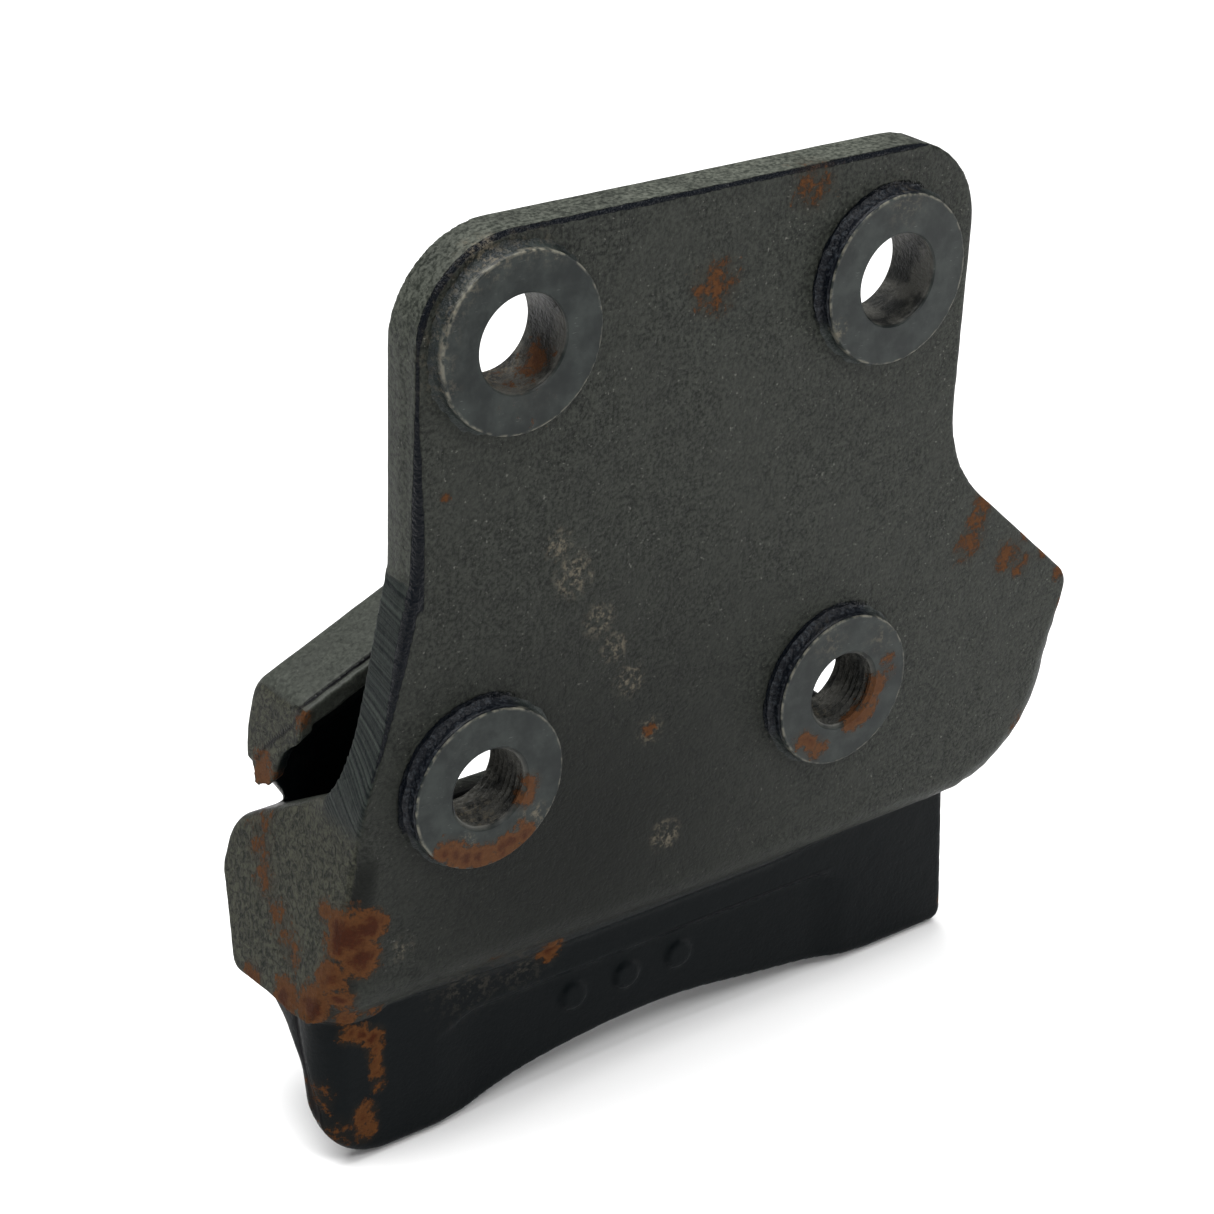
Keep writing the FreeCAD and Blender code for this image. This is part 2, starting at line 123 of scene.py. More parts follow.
FOOT_FRONT = 9.0
FOOT_REACH = 84.0
FOOT_TOP_RIGHT = 80.5
FOOT_BOTTOM = -125.8
ARCH_RADIUS = 200.0
ARCH_REACH = 58.0
ARCH_CROWN = FOOT_BOTTOM + ARCH_RADIUS - math.sqrt(ARCH_RADIUS ** 2 - ARCH_REACH ** 2)
PANEL_TOP = -99.6
PANEL_DEPTH = 0.8
STUD_PLACES = (-22.0, -8.0, 6.0)
STUD_LEVEL = -106.5
STUD_RADIUS = 3.5
LEFT_LEG_FULLNESS = 1.9          # metal below the plain arch, at its left and right shoulders
RIGHT_LEG_FULLNESS = 1.2

SLEEVE_RADIUS = 13.0
UPPER_RIM = 17.5
LOWER_RIM = 17.0
UPPER_BORE = 9.5
LOWER_BORE = 8.2
THREAD_PITCH = 1.5
THREAD_DEPTH = 0.75
THREAD_ROOT = LOWER_BORE + THREAD_DEPTH
ROOT_FILLET = 2.0                # forged blend round each boss
RIM_EDGE = 0.35                  # rounding of the rim's front edge
SLEEVE_END = PLATE_BACK - 0.15   # just inside the plate's back, so that it shows no seam there

# The plate's own centre in the frame, from where the foot and the plate lie there.
CENTRE = Vector((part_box("foot_front_wall")[0][0] / MM + FOOT_REACH, 0.0,
                 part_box("bolt_plate")[1][2] / MM - PLATE_TOP))
BORES = {mount["name"]: Vector(mount["pos_m"]) / MM - CENTRE
         for mount in frame["record"]["mounts"] if "r_mm" in mount["dims"]}

STEP = 0.6          # size of the voxels the forging is meshed from


# ------------------------ signed distances


class Grid:
    """Box of sample points; x, y and z broadcast against each other."""

    def __init__(self, low, high, step):
        self.low = np.array(low, dtype=float)
        self.step = step
        counts = [int(math.ceil((top - bottom) / step)) + 1 for bottom, top in zip(low, high)]
        axes = [bottom + step * np.arange(count) for bottom, count in zip(low, counts)]
        self.x = axes[0][:, None, None].astype(np.float32)
        self.y = axes[1][None, :, None].astype(np.float32)
        self.z = axes[2][None, None, :].astype(np.float32)


def rounded(corners, steps=10):
    """Closed outline from corners given as (u, v, radius), with the round ones turned into arcs."""
    outline = []
    count = len(corners)
    for index, (u, v, radius) in enumerate(corners):
        here = Vector((u, v))
        if radius == 0:
            outline.append((u, v))
            continue
        before = (Vector(corners[index - 1][:2]) - here).normalized()
        after = (Vector(corners[(index + 1) % count][:2]) - here).normalized()
        half = before.angle(after) / 2
        centre = here + (before + after).normalized() * (radius / math.sin(half))
        start = here + before * (radius / math.tan(half)) - centre
        turn = (math.pi - 2 * half) * (1 if before.cross(after) < 0 else -1)
        for step in range(steps + 1):
            spoke = Matrix.Rotation(turn * step / steps, 2) @ start
            outline.append(tuple(centre + spoke))
    return outline


def outline_distance(outline, u, v):
    """Distance from a closed outline, negative inside."""
    nearest = np.float32(1e9)
    inside = False
    for (u0, v0), (u1, v1) in zip(outline, outline[1:] + outline[:1]):
        du, dv = u1 - u0, v1 - v0
        along = np.clip(((u - u0) * du + (v - v0) * dv) / (du * du + dv * dv), 0, 1)
        nearest = np.minimum(nearest, (u - u0 - du * along) ** 2 + (v - v0 - dv * along) ** 2)
        if dv != 0:
            crossed = ((v0 > v) != (v1 > v)) & (u < u0 + du * (v - v0) / dv)
            inside = inside ^ crossed
    return np.where(inside, -1, 1) * np.sqrt(nearest)


def meet(first, second, radius):
    """Common part of two shapes, its edge rounded."""
    overshoot = np.hypot(np.maximum(first + radius, 0), np.maximum(second + radius, 0))
    return np.minimum(np.maximum(first, second), -radius) + overshoot


def blunt(first, second, width):
    """Common part of two shapes whose faces meet at a shallow angle, with the corner eased."""
    near = np.maximum(width - np.abs(first - second), 0)
    return np.maximum(first, second) + near * near / (4 * width)


def join(first, second, radius):
    """Both shapes together, with a fillet in the corner between them."""
    reach = np.hypot(np.maximum(radius - first, 0), np.maximum(radius - second, 0))
    return np.maximum(np.minimum(first, second), radius) - reach


def fade(value, start, stop):
    """Smooth step from 0 at start to 1 at stop."""
    share = np.clip((value - start) / (stop - start), 0, 1)
    return share * share * (3 - 2 * share)


def lumps(grid, size, seed):
    """Smooth random field between -1 and 1 whose lumps are about the given size."""
    cells = 48
    lattice = np.random.default_rng(seed).uniform(-1, 1, (cells, cells, cells)).astype(np.float32)
    weights = []
    for axis in (grid.x, grid.y, grid.z):
        place = axis.ravel() / size + 1000.0
        cell = np.floor(place).astype(int)
        share = fade(place - cell, 0, 1)
        weight = np.zeros((len(place), cells), dtype=np.float32)
        rows = np.arange(len(place))
        weight[rows, cell % cells] += 1 - share
        weight[rows, (cell + 1) % cells] += share
        weights.append(weight)
    return np.einsum("ia,jb,kc,abc->ijk", *weights, lattice, optimize=True)


# ------------------------ the forging


def plate_outline():
    """Outline of the bolt plate with both ears, before it is trimmed."""
    return rounded([
        (-HALF_WIDTH, PLATE_TOP, CORNER_ROUND),
        (HALF_WIDTH, PLATE_TOP, CORNER_ROUND - 1.5),
        (HALF_WIDTH, NECK_LEVEL, NECK_ROUND),
        (EAR_REACH, EAR_LEVEL, EAR_TIP_ROUND),
        (EAR_REACH, PLATE_BOTTOM, EAR_BOTTOM_ROUND),
        (-EAR_REACH, PLATE_BOTTOM, EAR_BOTTOM_ROUND),
        (-EAR_REACH, EAR_LEVEL, EAR_TIP_ROUND),
        (-HALF_WIDTH, NECK_LEVEL, NECK_ROUND),
    ])


def plate_shape(grid):
    """Bolt plate with its edges rounded: sharp above, blunter at the left and below."""
    side = outline_distance(plate_outline(), grid.x, grid.z)
    low = fade(grid.z, -38, -62)
    bevel = fade(grid.z, 42, 8) * fade(grid.x, 0, -40)
    front_round = TOP_EDGE_ROUND + TOP_EDGE_WAVER * lumps(grid, 2.6, 7)
    front_round = front_round + (BEVEL - TOP_EDGE_ROUND) * bevel
    front_round = front_round + (BOTTOM_EDGE_ROUND - TOP_EDGE_ROUND) * low
    shape = meet(side, PLATE_FRONT - grid.y, front_round)
    return meet(shape, grid.y - PLATE_BACK, BACK_EDGE_ROUND)


def block_shape(grid):
    """Beam behind the plate, with its raised left cheek."""
    beam = outline_distance(rounded([
        (PLATE_BACK - 5, FLOOR, 0), (BEAM_REAR, FLOOR, 2), (*BEAM_HEEL, 3), (*BLOCK_START, 0),
    ]), grid.y, grid.z)
    beam = meet(beam, grid.x - BEAM_RIGHT, 3)
    lift = CHEEK_LIFT * fade(grid.x, -76, -86) * fade(grid.z, -70, -86)
    cheek = outline_distance(rounded([
        (PLATE_BACK - 5, CHEEK_TOP + 3, 0), (*CHEEK_CORNER, CHEEK_CORNER_ROUND), (*BEAM_HEEL, 3),
        (*BLOCK_START, 0),
    ]), grid.y, grid.z - lift)
    cheek = meet(cheek, grid.x - CHEEK_INNER, 2)
    return join(beam, cheek, 3)


def web_shape(grid):
    """Wall along the beam's rear edge with its low window."""
    tip = RIDGE - FLANGE_DEPTH - WEB_REACH * math.tan(RIDGE_ANGLE)
    right = [(68.6, -62.3, 4), (61.0, FLOOR - 3, 0)]
    left = [(-u, v, radius) for u, v, radius in reversed(right)]
    outline = rounded([(0, RIDGE - 8, 0), (WEB_REACH, tip + 6, 3), (WEB_REACH, tip, 2)]
                      + right + left + [(-WEB_REACH, tip, 2), (-WEB_REACH, tip + 6, 3)])
    window = outline_distance(rounded([
        (-WINDOW_REACH, WINDOW_TOP, 3), (WINDOW_REACH, WINDOW_TOP, 3),
        (WINDOW_REACH, FLOOR - 0.2, 0), (-WINDOW_REACH, FLOOR - 0.2, 0),
    ]), grid.x, grid.z)
    wall = np.maximum(outline_distance(outline, grid.x, grid.z), -window)
    middle = (WEB_FRONT + WEB_REAR) / 2
    return meet(wall, np.abs(grid.y - middle) - (WEB_REAR - WEB_FRONT) / 2, 1.2)


def ridge_drop(grid):
    """Height above the flange's top, measured square to the slope."""
    crest = 3.0                      # half width of the rounded crest
    run = np.sqrt(grid.x ** 2 + crest ** 2) - crest
    return (grid.z - RIDGE + run * math.tan(RIDGE_ANGLE)) * math.cos(RIDGE_ANGLE)


def flange_shape(grid):
    """Overhanging lip along the web's top."""
    squash = math.cos(RIDGE_ANGLE)
    section = rounded([
        (FLANGE_FRONT, 0, 1.0), (FLANGE_REAR, 0, 4), (FLANGE_REAR, -10 * squash, 2.5),
        (WEB_REAR, -FLANGE_DROP, 0), (WEB_FRONT, -FLANGE_DROP, 0),
        (WEB_FRONT, -14 * squash, 3), (FLANGE_FRONT, -4.5, 1.0),
    ], steps=5)
    lip = outline_distance(section, grid.y, ridge_drop(grid))
    return meet(lip, grid.x - WEB_REACH, 2)


def behind_crevice(grid):
    """How far a point lies behind the middle of the crevice in the foot's left end."""
    return grid.y - 12.6 - 7.0 * fade(grid.z, -118, -88)


def foot_shape(grid):
    """Arched foot with its sunk panel, three plain studs and the crevice at its left end."""
    reach = fade(np.abs(grid.x + 2.0), 57.0, 44.0)
    sink = PANEL_DEPTH * fade(grid.z + 4.0 * (1 - reach), PANEL_TOP + 0.5, PANEL_TOP - 0.9) * reach
    for place in STUD_PLACES:
        stud = np.hypot(grid.x - place, grid.z - STUD_LEVEL)
        sink = sink - PANEL_DEPTH * fade(stud, STUD_RADIUS, STUD_RADIUS - 0.5)
    wall = outline_distance(rounded([
        (3.0, -84.0, 0), (34.0, -84.0, 0), (33.0, -90.5, 1), (24.0, -96.5, 6), (18.0, -104.0, 10),
        (15.0, -116.0, 8), (14.5, FOOT_BOTTOM, 2.5), (3.0, FOOT_BOTTOM, 0),
    ]), grid.y, grid.z)
    wall = meet(wall, FOOT_FRONT + sink - grid.y, 0.6)
    left = -FOOT_REACH - grid.x
    bottom = FOOT_BOTTOM - grid.z
    arch = ARCH_RADIUS - np.hypot(grid.x, grid.z - ARCH_CROWN + ARCH_RADIUS)
    arch = arch - LEFT_LEG_FULLNESS * np.exp(-((grid.x + 56) / 12) ** 2)
    arch = arch - RIGHT_LEG_FULLNESS * np.exp(-((grid.x - 28) / 18) ** 2)
    arch = blunt(bottom, arch, 2.4)
    wall = meet(wall, arch, 0.8)
    wall = meet(wall, meet(left, bottom, 16.0), 2.0)
    wall = np.maximum(wall, meet(left, FOOT_FRONT - grid.y, 7.0))
    taper = (FOOT_REACH - FOOT_TOP_RIGHT) / (PLATE_BOTTOM - FOOT_BOTTOM)
    right = (grid.x - FOOT_REACH + (grid.z - FOOT_BOTTOM) * taper) / math.hypot(1, taper)
    wall = meet(wall, meet(right, bottom, 4.0), 0.8)
    crevice = behind_crevice(grid) / 0.8
    crevice = 0.7 * np.exp(-crevice ** 2) * fade(grid.x, -79, -83) * fade(grid.z, -120, -112)
    return wall + crevice


def trim_distance(grid):
    """Distance past the trimmed left side: an upright edge that runs into the slanting cut."""
    start_x, start_z = TRIM_START
    upright = start_x - grid.x
    slant = (start_x + (grid.z - start_z) * TRIM_SLOPE - grid.x) / math.hypot(1, TRIM_SLOPE)
    bulge = TRIM_SWELL * np.exp(-((grid.z + 41.0) / 9.0) ** 2) * fade(grid.y, 24, 16)
    return np.minimum(upright, slant - bulge)


def trim_round(grid):
    """Edge rounding of the trimmed side: bevelled above, sharp, then soft below and behind."""
    front = fade(grid.y, 13, 8) * (4.5 * fade(grid.z, -38, -56) + 4.5 * fade(grid.z, -58, -80))
    bevel = fade(grid.y, 9, 6) * 1.5 * fade(grid.z, -30, -4)
    behind = 1.6 * fade(grid.y, 16, 28)
    return TRIM_EDGE + front + bevel + behind


# In the order in which they are joined.
FEATURES = {
    "plate": plate_shape,
    "block": block_shape,
    "foot": foot_shape,
    "web": web_shape,
    "flange": flange_shape,
}


def fillet_radius(feature, grid):
    """Fillet where a feature joins the ones before it."""
    if feature == "foot":
        return 0.4 + 3.2 * fade(grid.x, -70, -40) * fade(grid.x, 58, 25)
    if feature == "block":
        return 5.0 - 4.4 * fade(grid.z, -76, -86)
    return {"plate": 0.0, "web": 3.0, "flange": 2.5}[feature]


# Uneven forged skin: how deep its broad and fine hollows go.
BROAD_HOLLOWS = 0.12
FINE_HOLLOWS = 0.07
SKIN_DEPTH = 0.02


def forging(grid, features):
    """The forging's surface in a grid, from the features that reach into it."""
    shape = None
    for name, feature_shape in FEATURES.items():
        if name in features:
            part = feature_shape(grid)
            shape = part if shape is None else join(shape, part, fillet_radius(name, grid))
    shape = meet(shape, trim_distance(grid), trim_round(grid))
    for centre in BORES.values():
        hole = np.hypot(grid.x - centre.x, grid.z - centre.z) - (SLEEVE_RADIUS - 0.4)
        hole = np.maximum(hole, grid.y - PLATE_BACK - 3)
        shape = np.maximum(shape, -hole)
    rough = 0.5 + 0.5 * lumps(grid, 17.0, 1)
    fine = 0.5 + 0.5 * lumps(grid, 4.0, 2)
    return shape + SKIN_DEPTH + BROAD_HOLLOWS * rough + FINE_HOLLOWS * fine


# ------------------------ shares of the forging

# A piece keeps the surface inside its own region. Past the region's edge its surface sinks slowly
# under the neighbour's, so that no seam shows, and it ends hidden inside the neighbour.
SINK = 0.04
OVERLAP = 3.0


def above_seam(grid):
    """Height over the crease where the plate's rounded bottom meets the foot."""
    return grid.z - PLATE_BOTTOM - 0.2 - 0.5 * (grid.y - FOOT_FRONT)


def plate_region(grid):
    return np.maximum(grid.y - PLATE_BACK, -above_seam(grid))


def beam_region(grid):
    return np.maximum.reduce(np.broadcast_arrays(
        PLATE_BACK - grid.y, grid.z - FLOOR, CHEEK_INNER - grid.x, BEAM_BOTTOM - grid.z))


def cheek_region(grid):
    return np.maximum.reduce(np.broadcast_arrays(
        PLATE_BACK - grid.y, grid.x - CHEEK_INNER, BEAM_BOTTOM - grid.z))


def web_region(grid):
    drop = ridge_drop(grid)
    return np.maximum.reduce(np.broadcast_arrays(
        FLOOR - grid.z, drop + FLANGE_DROP, 28.0 - grid.y))


def left_flange_region(grid):
    return np.maximum(-FLANGE_DROP - ridge_drop(grid), grid.x)


def right_flange_region(grid):
    return np.maximum(-FLANGE_DROP - ridge_drop(grid), -grid.x)


def foot_split(grid):
    """How far a point lies behind the plane between the foot's front wall and rear rib."""
    return grid.y - (13.0 + 6.0 * fade(grid.z, -116, -90))


def foot_front_region(grid):
    return np.maximum(above_seam(grid), foot_split(grid))


def foot_rib_region(grid):
    return np.maximum(grid.z - PLATE_BOTTOM, -foot_split(grid))


# Each forged node's region, the features that reach into it, and its grid's two corners, mm.
LOWER = ("plate", "block", "foot")
FORGED = {
    "bolt_plate": (plate_region, LOWER, (-92, 1, -96), (110, 18, 71)),
    "base_beam": (beam_region, (*LOWER, "web"), (-76, 8, -96), (70, 53, -66)),
    "left_end_cheek": (cheek_region, LOWER, (-92, 8, -96), (-66, 53, -34)),
    "rear_web": (web_region, ("block", "web", "flange"), (-80, 26, -77), (80, 52, -6)),
    "left_top_flange": (left_flange_region, ("web", "flange"), (-82, 29, -58), (5, 52, 2)),
    "right_top_flange": (right_flange_region, ("web", "flange"), (-5, 29, -58), (80, 52, 2)),
    "foot_front_wall": (foot_front_region, LOWER, (-87, 6, -129), (87, 24, -84)),
    "foot_rear_rib": (foot_rib_region, LOWER, (-87, 10, -129), (87, 34, -84)),
}


def mesh_from_arrays(name, points, faces):
    """Blender object from arrays of points in mm about the plate's centre and of its faces."""
    mesh = bpy.data.meshes.new(name)
    places = (points + np.array(CENTRE)) * MM
    mesh.vertices.add(len(places))
    mesh.vertices.foreach_set("co", places.astype(np.float32).ravel())
    mesh.loops.add(faces.size)
    mesh.loops.foreach_set("vertex_index", faces.astype(np.int32).ravel())
    mesh.polygons.add(len(faces))
    mesh.polygons.foreach_set("loop_start", np.arange(0, faces.size, faces.shape[1], dtype=np.int32))
    mesh.update(calc_edges=True)
    mesh.validate()
    mesh.shade_smooth()
    piece = bpy.data.objects.new(name, mesh)
    bpy.context.scene.collection.objects.link(piece)
    return piece


def mesh_of(name, grid, shape):
    """Mesh of the surface where a shape's distance is zero, closed as the grid holds all of it."""
    volume = openvdb.FloatGrid(background=1.0)
    volume.copyFromArray(np.ascontiguousarray(np.clip(shape, -3, 3), dtype=np.float32))
    points, quads = volume.convertToQuads(isovalue=0.0)
    return mesh_from_arrays(name, points * grid.step + grid.low, quads[:, ::-1])


def make_forged_piece(node):
    """One node's share of the forging."""
    region, features, low, high = FORGED[node]
    grid = Grid(low, high, STEP)
    outside = region(grid)
    shape = forging(grid, features) + SINK * np.maximum(outside, 0)
    shape = np.maximum(shape, outside - OVERLAP)
    return mesh_of(f"{node}_skin", grid, shape)


# ------------------------ turned bosses


def arc_points(centre, radius, start, stop, steps=6):
    """Points along an arc in the profile plane, angles in degrees."""
    angles = [math.radians(start + (stop - start) * step / steps) for step in range(steps + 1)]
    return [(centre[0] + radius * math.cos(angle), centre[1] + radius * math.sin(angle))
            for angle in angles]


def wobble(angle, seed):
    """Smooth closed random wave round a ring, between about -1 and 1."""
    random = np.random.default_rng(seed)
    wave = np.zeros_like(angle)
    for count in (3, 5, 8, 13, 21, 34):
        wave += random.uniform(0.4, 1.0) * np.sin(count * angle + random.uniform(0, 6.28)) / 3
    return wave


def lathe(name, centre, profile, rim, threaded=None, segments=192, seed=0):
    """Closed ring turned about Y from a profile of (y, radius); threaded gives its cut stretch."""
    rings = np.array(profile)
    angle = np.linspace(0, 2 * math.pi, segments, endpoint=False)
    along = np.repeat(rings[:, :1], segments, axis=1)
    radius = np.repeat(rings[:, 1:], segments, axis=1)
    if threaded:
        start, stop, depth, pitch = threaded
        turn = (along / pitch - angle / (2 * math.pi)) % 1.0
        groove = depth * (1 - np.abs(2 * turn - 1))
        on_wall = (along >= start) & (along <= stop) & (radius < LOWER_BORE + 0.01)
        radius = radius + groove * on_wall
    # The forged root round the rim is uneven; the machined face inside it isn't.
    root = fade(radius, rim + 0.1, rim + 1.2) * (along > 0.5)
    radius = radius + 0.35 * wobble(angle, seed) * root
    along = along + 0.12 * wobble(angle, seed + 1) * root
    points = np.stack([centre.x + radius * np.cos(angle), along, centre.z + radius * np.sin(angle)],
                      axis=-1).reshape(-1, 3)
    count = len(rings)
    ring, spoke = np.meshgrid(np.arange(count), np.arange(segments), indexing="ij")
    next_ring, next_spoke = (ring + 1) % count, (spoke + 1) % segments
    faces = np.stack([ring * segments + spoke, next_ring * segments + spoke,
                      next_ring * segments + next_spoke, ring * segments + next_spoke], axis=-1)
    piece = mesh_from_arrays(name, points, faces.reshape(-1, 4))
    piece.data.set_sharp_from_angle(angle=math.radians(32))
    return piece


def boss_outside(rim):
    """Outer part of a boss's profile: rim edge, wall, flared forged root, then the sleeve."""
    edge = arc_points((RIM_EDGE, rim - RIM_EDGE), RIM_EDGE, 180, 90, 4)
    root = arc_points((PLATE_FRONT + 0.4 - ROOT_FILLET, rim + ROOT_FILLET), ROOT_FILLET, 270, 360, 8)
    buried = PLATE_FRONT + 1.0
    return edge + root + [(buried, rim + ROOT_FILLET), (buried, SLEEVE_RADIUS),
                          (SLEEVE_END, SLEEVE_RADIUS)]


def wall_steps(start, stop, radius, steps):
    """Points down a bore wall between its two ends."""
    return [(start + (stop - start) * step / steps, radius) for step in range(steps + 1)]


def face_steps(inner, outer, steps=12):
    """Points across a boss's flat face, from its bore to its rim."""
    return [(0.0, inner + (outer - inner) * step / steps) for step in range(steps + 1)]


def make_upper_boss(corner, seed):
    """Boss with a plain bore."""
    profile = [(0.3, UPPER_BORE)] + face_steps(UPPER_BORE + 0.3, UPPER_RIM - 0.6)
    profile += boss_outside(UPPER_RIM)
    profile += [(SLEEVE_END, UPPER_BORE + 0.5)]
    profile += wall_steps(PLATE_BACK - 0.6, 0.6, UPPER_BORE, 24)
    return lathe(f"{corner}_boss_turned", BORES[f"{corner}_bore"], profile, UPPER_RIM, seed=seed)


def make_lower_boss(corner, seed):
    """Boss with a countersunk, threaded bore."""
    mouth = LOWER_BORE + 0.8
    profile = [(0.8, LOWER_BORE)] + face_steps(mouth, LOWER_RIM - 0.6)
    profile += boss_outside(LOWER_RIM)
    profile += [(SLEEVE_END, mouth)]
    profile += wall_steps(PLATE_BACK - 0.9, 0.9, LOWER_BORE, 60)
    return lathe(f"{corner}_boss_turned", BORES[f"{corner}_thread"], profile, LOWER_RIM,
                 threaded=(0.95, PLATE_BACK - 1.0, THREAD_DEPTH, THREAD_PITCH), seed=seed)


# ------------------------ forging flash

FLASH_INSET = 0.35                # how far the strip stays inside the trimmed side


def make_flash_rib():
    """Ragged strip of forging flash along the left lip's front edge and down round its end."""
    grid = Grid((-80, 27, -58), (3, 48, 2), STEP * 0.7)
    drop = ridge_drop(grid)
    ragged = 0.45 * lumps(grid, 5.0, 5) + 0.2 * lumps(grid, 2.0, 6)
    strip = outline_distance(rounded([
        (30.7, -0.7, 0.5), (30.9, -4.6, 0.8), (34.0, -5.5, 0), (34.0, -0.7, 0),
    ]), grid.y, drop)
    strip = np.maximum(strip + ragged, grid.x + 1)
    end = outline_distance(rounded([
        (30.7, -1.0, 0.5), (30.7, -5.2, 1.0), (35.5, -9.6, 3.0), (37.8, -16.0, 1.5),
        (43.0, -17.6, 1.5), (46.0, -14.5, 1.0), (41.5, -9.0, 0), (34.0, -1.0, 0),
    ]), grid.y, drop)
    side = trim_distance(grid)
    end = np.maximum(end + ragged, -3.2 - side)
    shape = np.maximum(np.minimum(strip, end), side + FLASH_INSET + 0.5 * ragged)
    return mesh_of("flange_flash_skin", grid, shape)


# ------------------------ marks left by use, and painted light and shade


def ring_patches(bore, turns, away, radius, strength):
    """Patches along part of a ring round a bore; turns are in degrees up from straight right."""
    centre = BORES[bore]
    return [(centre.x + away * math.cos(math.radians(turn)), 0.5,
             centre.z + away * math.sin(math.radians(turn)), radius, strength) for turn in turns]


# Rust, each patch as (x, y, z, radius, strength).
RUST = [
    # lower left corner of the plate
    (-80.3, 5, -68.5, 6.5, 1.2), (-76.2, 4, -66.5, 4.2, 1.2), (-78.2, 4, -73.5, 4.5, 1.1),
    (-82.6, 12, -65.5, 3.0, 0.8), (-83.0, 8, -78.0, 4.0, 0.9), (-81.0, 7, -83.0, 3.5, 0.8),
    (-85.3, 11, -85.5, 5.0, 1.0), (-85.8, 20, -88.5, 4.5, 0.9), (-85.6, 32, -90.5, 3.5, 0.7),
    (-79.0, 8, -88.8, 3.0, 0.8), (-73.0, 9, -88.8, 2.4, 0.7),
    # end cheek
    (-80.0, 38, -58.0, 3.6, 0.22), (-80.5, 37, -64.0, 3.6, 0.34), (-81.6, 33.4, -69.6, 3.6, 0.40),
    (-82.5, 27, -74.0, 3.4, 0.36), (-83.0, 21.5, -77.5, 3.6, 0.34), (-79.0, 42, -53.0, 3.4, 0.22),
    # foot, left leg and seam
    (-77.5, 9, -94.2, 2.4, 0.6), (-74.5, 9, -95.3, 2.6, 0.8), (-72.0, 9, -97.0, 2.8, 0.8),
    (-71.5, 9, -100.0, 2.2, 0.7), (-71.2, 9, -103.0, 2.0, 0.7), (-70.8, 9, -106.0, 2.0, 0.7),
    (-70.6, 9, -109.0, 1.8, 0.65), (-74.0, 9, -115.0, 3.0, 0.7), (-73.5, 9, -119.0, 2.8, 0.6),
    (-80.5, 10, -118.0, 3.0, 0.15), (-83.5, 13, -109.0, 3.0, 0.2), (-84.0, 31, -93.0, 4.0, 0.7),
    (-84.0, 24, -98.0, 2.6, 0.6), (-29.5, 9, -91.3, 3.4, 1.0), (83.5, 10, -120.0, 1.6, 0.8),
    # plate front
    (0.5, 3.3, 48.1, 5.0, 0.40), (23.4, 3.3, 64.3, 4.5, 0.30), (-10.2, 3.3, -43.5, 1.8, 0.45),
    (78.1, 3.3, -15.3, 3.4, 0.45), (76.5, 3.3, -19.5, 2.8, 0.40), (74.9, 3.3, -24.3, 4.0, 0.40),
    (87.0, 3.3, -30.5, 3.8, 0.40), (91.0, 3.3, -33.5, 2.6, 0.35), (92.5, 5, -26.5, 2.4, 0.6),
    (98.0, 5, -32.0, 2.4, 0.6), (104.0, 5, -38.5, 2.6, 0.7), (106.3, 5, -48.0, 2.4, 0.5),
    (97.5, 3.3, -75.5, 3.2, 0.4), (-45.0, 3.3, -87.0, 2.4, 0.3), (-60.0, 4.0, 20.0, 1.2, 0.5),
    # upper left bore
    (-38.5, 6, 41.0, 4.0, 0.55), (-44.0, 6, 38.2, 3.5, 0.1),
    # flange
    (-76.6, 41, -49.0, 3.6, 0.6), (-73.9, 31, -34.5, 2.2, 0.5), (-46.0, 38, -21.0, 1.6, 0.5),
    (-77.5, 42, -51.5, 3.0, 0.7),
]
RUST += ring_patches("lower_left_thread", range(-134, -56, 11), 14.6, 3.0, 0.85)
RUST += ring_patches("lower_left_thread", (-30, -10), 9.5, 2.4, 0.6)
RUST += ring_patches("lower_right_thread", range(-72, 1, 14), 9.6, 2.4, 0.65)
RUST += ring_patches("lower_right_thread", range(-140, -104, 12), 13.6, 2.6, 0.6)
RUST += ring_patches("lower_right_thread", (5, 18), 12.4, 2.0, 0.4)

# Pale dust and scuffs, each as (x, y, z, radius, strength).
DUST = [
    (-34.0, 3.3, 3.7, 3.5, 0.9), (-30.3, 3.3, -3.6, 5.0, 1.0), (-23.9, 3.3, -14.9, 4.0, 0.9),
    (-20.0, 3.3, -22.0, 3.5, 0.9), (-15.8, 3.3, -30.4, 4.0, 0.9), (-10.2, 3.3, -43.5, 3.5, 0.8),
    (-4.8, 3.3, -69.8, 4.0, 1.1), (-69.0, 3.3, -74.0, 3.0, 0.5), (-49.0, 9, -91.5, 9.0, 0.2),
    (-36.0, 9, -91.5, 8.0, 0.2), (-45.7, 8, 37.5, 7.0, 1.4), (-51.0, 6, -51.0, 5.5, 0.9),
    (-53.0, 3, 64.5, 5.0, 0.7), (-57.0, 0, -53.0, 3.0, 0.9), (-41.0, 0, -53.0, 4.5, 1.1),
    (34.0, 0, -35.0, 5.0, 0.3), (48.0, 0, -38.0, 4.5, 0.3), (45.0, 0, 58.0, 6.0, 0.3),
    (29.5, 0, 35.0, 2.2, 1.0), (38.8, 8, -55.0, 4.0, 0.6),
]
DUST += ring_patches("upper_left_bore", range(70, 200, 16), 18.5, 4.0, 0.45)

# Path of the crack between the flange and its flash, drawn in painted shade, as (y, height over the
# flange's top).
CRACK = [(32.0, -0.6), (33.2, -3.4), (41.4, -10.3), (44.0, -13.5)]


def patch_field(points, patches):
    """Strength of the nearest patch at each point: positive inside it, down to -1 far away."""
    field = np.full(len(points), -1.0)
    for x, y, z, radius, strength in patches:
        away = np.linalg.norm(points - np.array((x, y, z)), axis=1) / radius
        field = np.maximum(field, strength * (1.15 - away))
    return field


class Places:
    """Points of a mesh in the same form as a grid, so that the shapes can be asked about them."""

    def __init__(self, points):
        self.x, self.y, self.z = points.T


